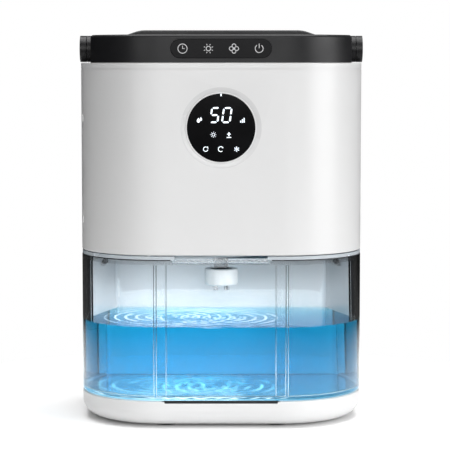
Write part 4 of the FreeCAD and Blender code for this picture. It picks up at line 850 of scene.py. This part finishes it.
# ---- floor, light and camera ----
# A pale floor that runs out into white. Seen in a reflection its far part is dark, which
# gives clear walls their dark edges. Soft lights: right, front, top and a weak left one.
floor_mesh = bpy.data.meshes.new("floor")
FLOOR_HALF = 6.0
corners = [(-FLOOR_HALF, -FLOOR_HALF, 0), (FLOOR_HALF, -FLOOR_HALF, 0),
           (FLOOR_HALF, FLOOR_HALF, 0), (-FLOOR_HALF, FLOOR_HALF, 0)]
floor_mesh.from_pydata(corners, [], [(0, 1, 2, 3)])
floor = bpy.data.objects.new("floor", floor_mesh)
bpy.context.collection.objects.link(floor)
floor_white, nodes, links, surface = new_material("floor_white")
surface.inputs["Roughness"].default_value = 0.6
spot = nodes.new("ShaderNodeTexCoord")
away = nodes.new("ShaderNodeVectorMath")
away.operation = "LENGTH"
fade = nodes.new("ShaderNodeMapRange")
fade.inputs["From Min"].default_value = 0.12
fade.inputs["From Max"].default_value = 0.32
dim = nodes.new("ShaderNodeMapRange")
dim.inputs["From Min"].default_value = 0.30
dim.inputs["From Max"].default_value = 0.60
tone = nodes.new("ShaderNodeMix")
tone.data_type = "RGBA"
tone.inputs["A"].default_value = (0.95, 0.95, 0.95, 1)
tone.inputs["B"].default_value = (0.03, 0.03, 0.03, 1)
links.new(away.outputs["Value"], dim.inputs["Value"])
links.new(dim.outputs["Result"], tone.inputs["Factor"])
links.new(tone.outputs["Result"], surface.inputs["Base Color"])
surface.inputs["Specular IOR Level"].default_value = 0.0
seen = nodes.new("ShaderNodeLightPath")
both = nodes.new("ShaderNodeMath")
both.operation = "MULTIPLY"
sweep = nodes.new("ShaderNodeEmission")
blend = nodes.new("ShaderNodeMixShader")
links.new(spot.outputs["Object"], away.inputs[0])
links.new(away.outputs["Value"], fade.inputs["Value"])
links.new(fade.outputs["Result"], both.inputs[0])
links.new(seen.outputs["Is Camera Ray"], both.inputs[1])
links.new(both.outputs["Value"], blend.inputs["Fac"])
links.new(surface.outputs["BSDF"], blend.inputs[1])
links.new(sweep.outputs["Emission"], blend.inputs[2])
links.new(blend.outputs["Shader"], nodes["Material Output"].inputs["Surface"])
floor_mesh.materials.append(floor_white)


def softbox(name, place, aim, wide, high, power):
    lamp = bpy.data.lights.new(name, "AREA")
    lamp.shape = "RECTANGLE"
    lamp.size, lamp.size_y, lamp.energy = wide, high, power
    box = bpy.data.objects.new(name, lamp)
    box.location = place
    box.rotation_euler = (Vector(aim) - Vector(place)).to_track_quat("-Z", "Y").to_euler()
    bpy.context.collection.objects.link(box)


CENTRE = (0, 0, 0.15)
softbox("key", (2.2, -1.1, 0.55), CENTRE, 1.6, 1.0, 34)
softbox("fill", (-1.3, -2.5, 0.50), (0, 0, 0.08), 1.0, 0.9, 9)
softbox("front", (0.2, -2.4, 0.75), (0, 0, 0.08), 1.4, 1.0, 18)
softbox("top", (0, 0.1, 1.6), CENTRE, 1.6, 1.6, 36)

world = bpy.data.worlds.new("studio")
bpy.context.scene.world = world
world.use_nodes = True
nodes, links = world.node_tree.nodes, world.node_tree.links
glow = nodes["Background"]
heading = nodes.new("ShaderNodeTexCoord")
split = nodes.new("ShaderNodeSeparateXYZ")
ahead = nodes.new("ShaderNodeMapRange")
ahead.inputs["From Min"].default_value = 0.25
ahead.inputs["From Max"].default_value = -0.35
ahead.inputs["To Min"].default_value = 0.10
ahead.inputs["To Max"].default_value = 0.50
aside = nodes.new("ShaderNodeMapRange")
aside.inputs["From Min"].default_value = -0.9
aside.inputs["From Max"].default_value = 0.6
aside.inputs["To Min"].default_value = 0.15
aside.inputs["To Max"].default_value = 1.2
room = nodes.new("ShaderNodeMath")
room.operation = "MULTIPLY"
seen = nodes.new("ShaderNodeLightPath")
blend = nodes.new("ShaderNodeMix")
blend.data_type = "FLOAT"
blend.inputs["B"].default_value = 1.0
links.new(heading.outputs["Generated"], split.inputs["Vector"])
links.new(split.outputs["Y"], ahead.inputs["Value"])
links.new(split.outputs["X"], aside.inputs["Value"])
links.new(ahead.outputs["Result"], room.inputs[0])
links.new(aside.outputs["Result"], room.inputs[1])
links.new(seen.outputs["Is Camera Ray"], blend.inputs["Factor"])
links.new(room.outputs["Value"], blend.inputs["A"])
links.new(blend.outputs["Result"], glow.inputs["Strength"])
glow.inputs["Color"].default_value = (1, 1, 1, 1)

camera_data = bpy.data.cameras.new("camera")
camera_data.lens = 144.5
camera = bpy.data.objects.new("camera", camera_data)
DOWN_TILT = 5.06
camera.location = Vector((3, -1455, 281)) * MM
camera.rotation_euler = (math.radians(90 - DOWN_TILT), 0, 0)
bpy.context.collection.objects.link(camera)
bpy.context.scene.camera = camera
bpy.context.scene.view_settings.view_transform = "Standard"
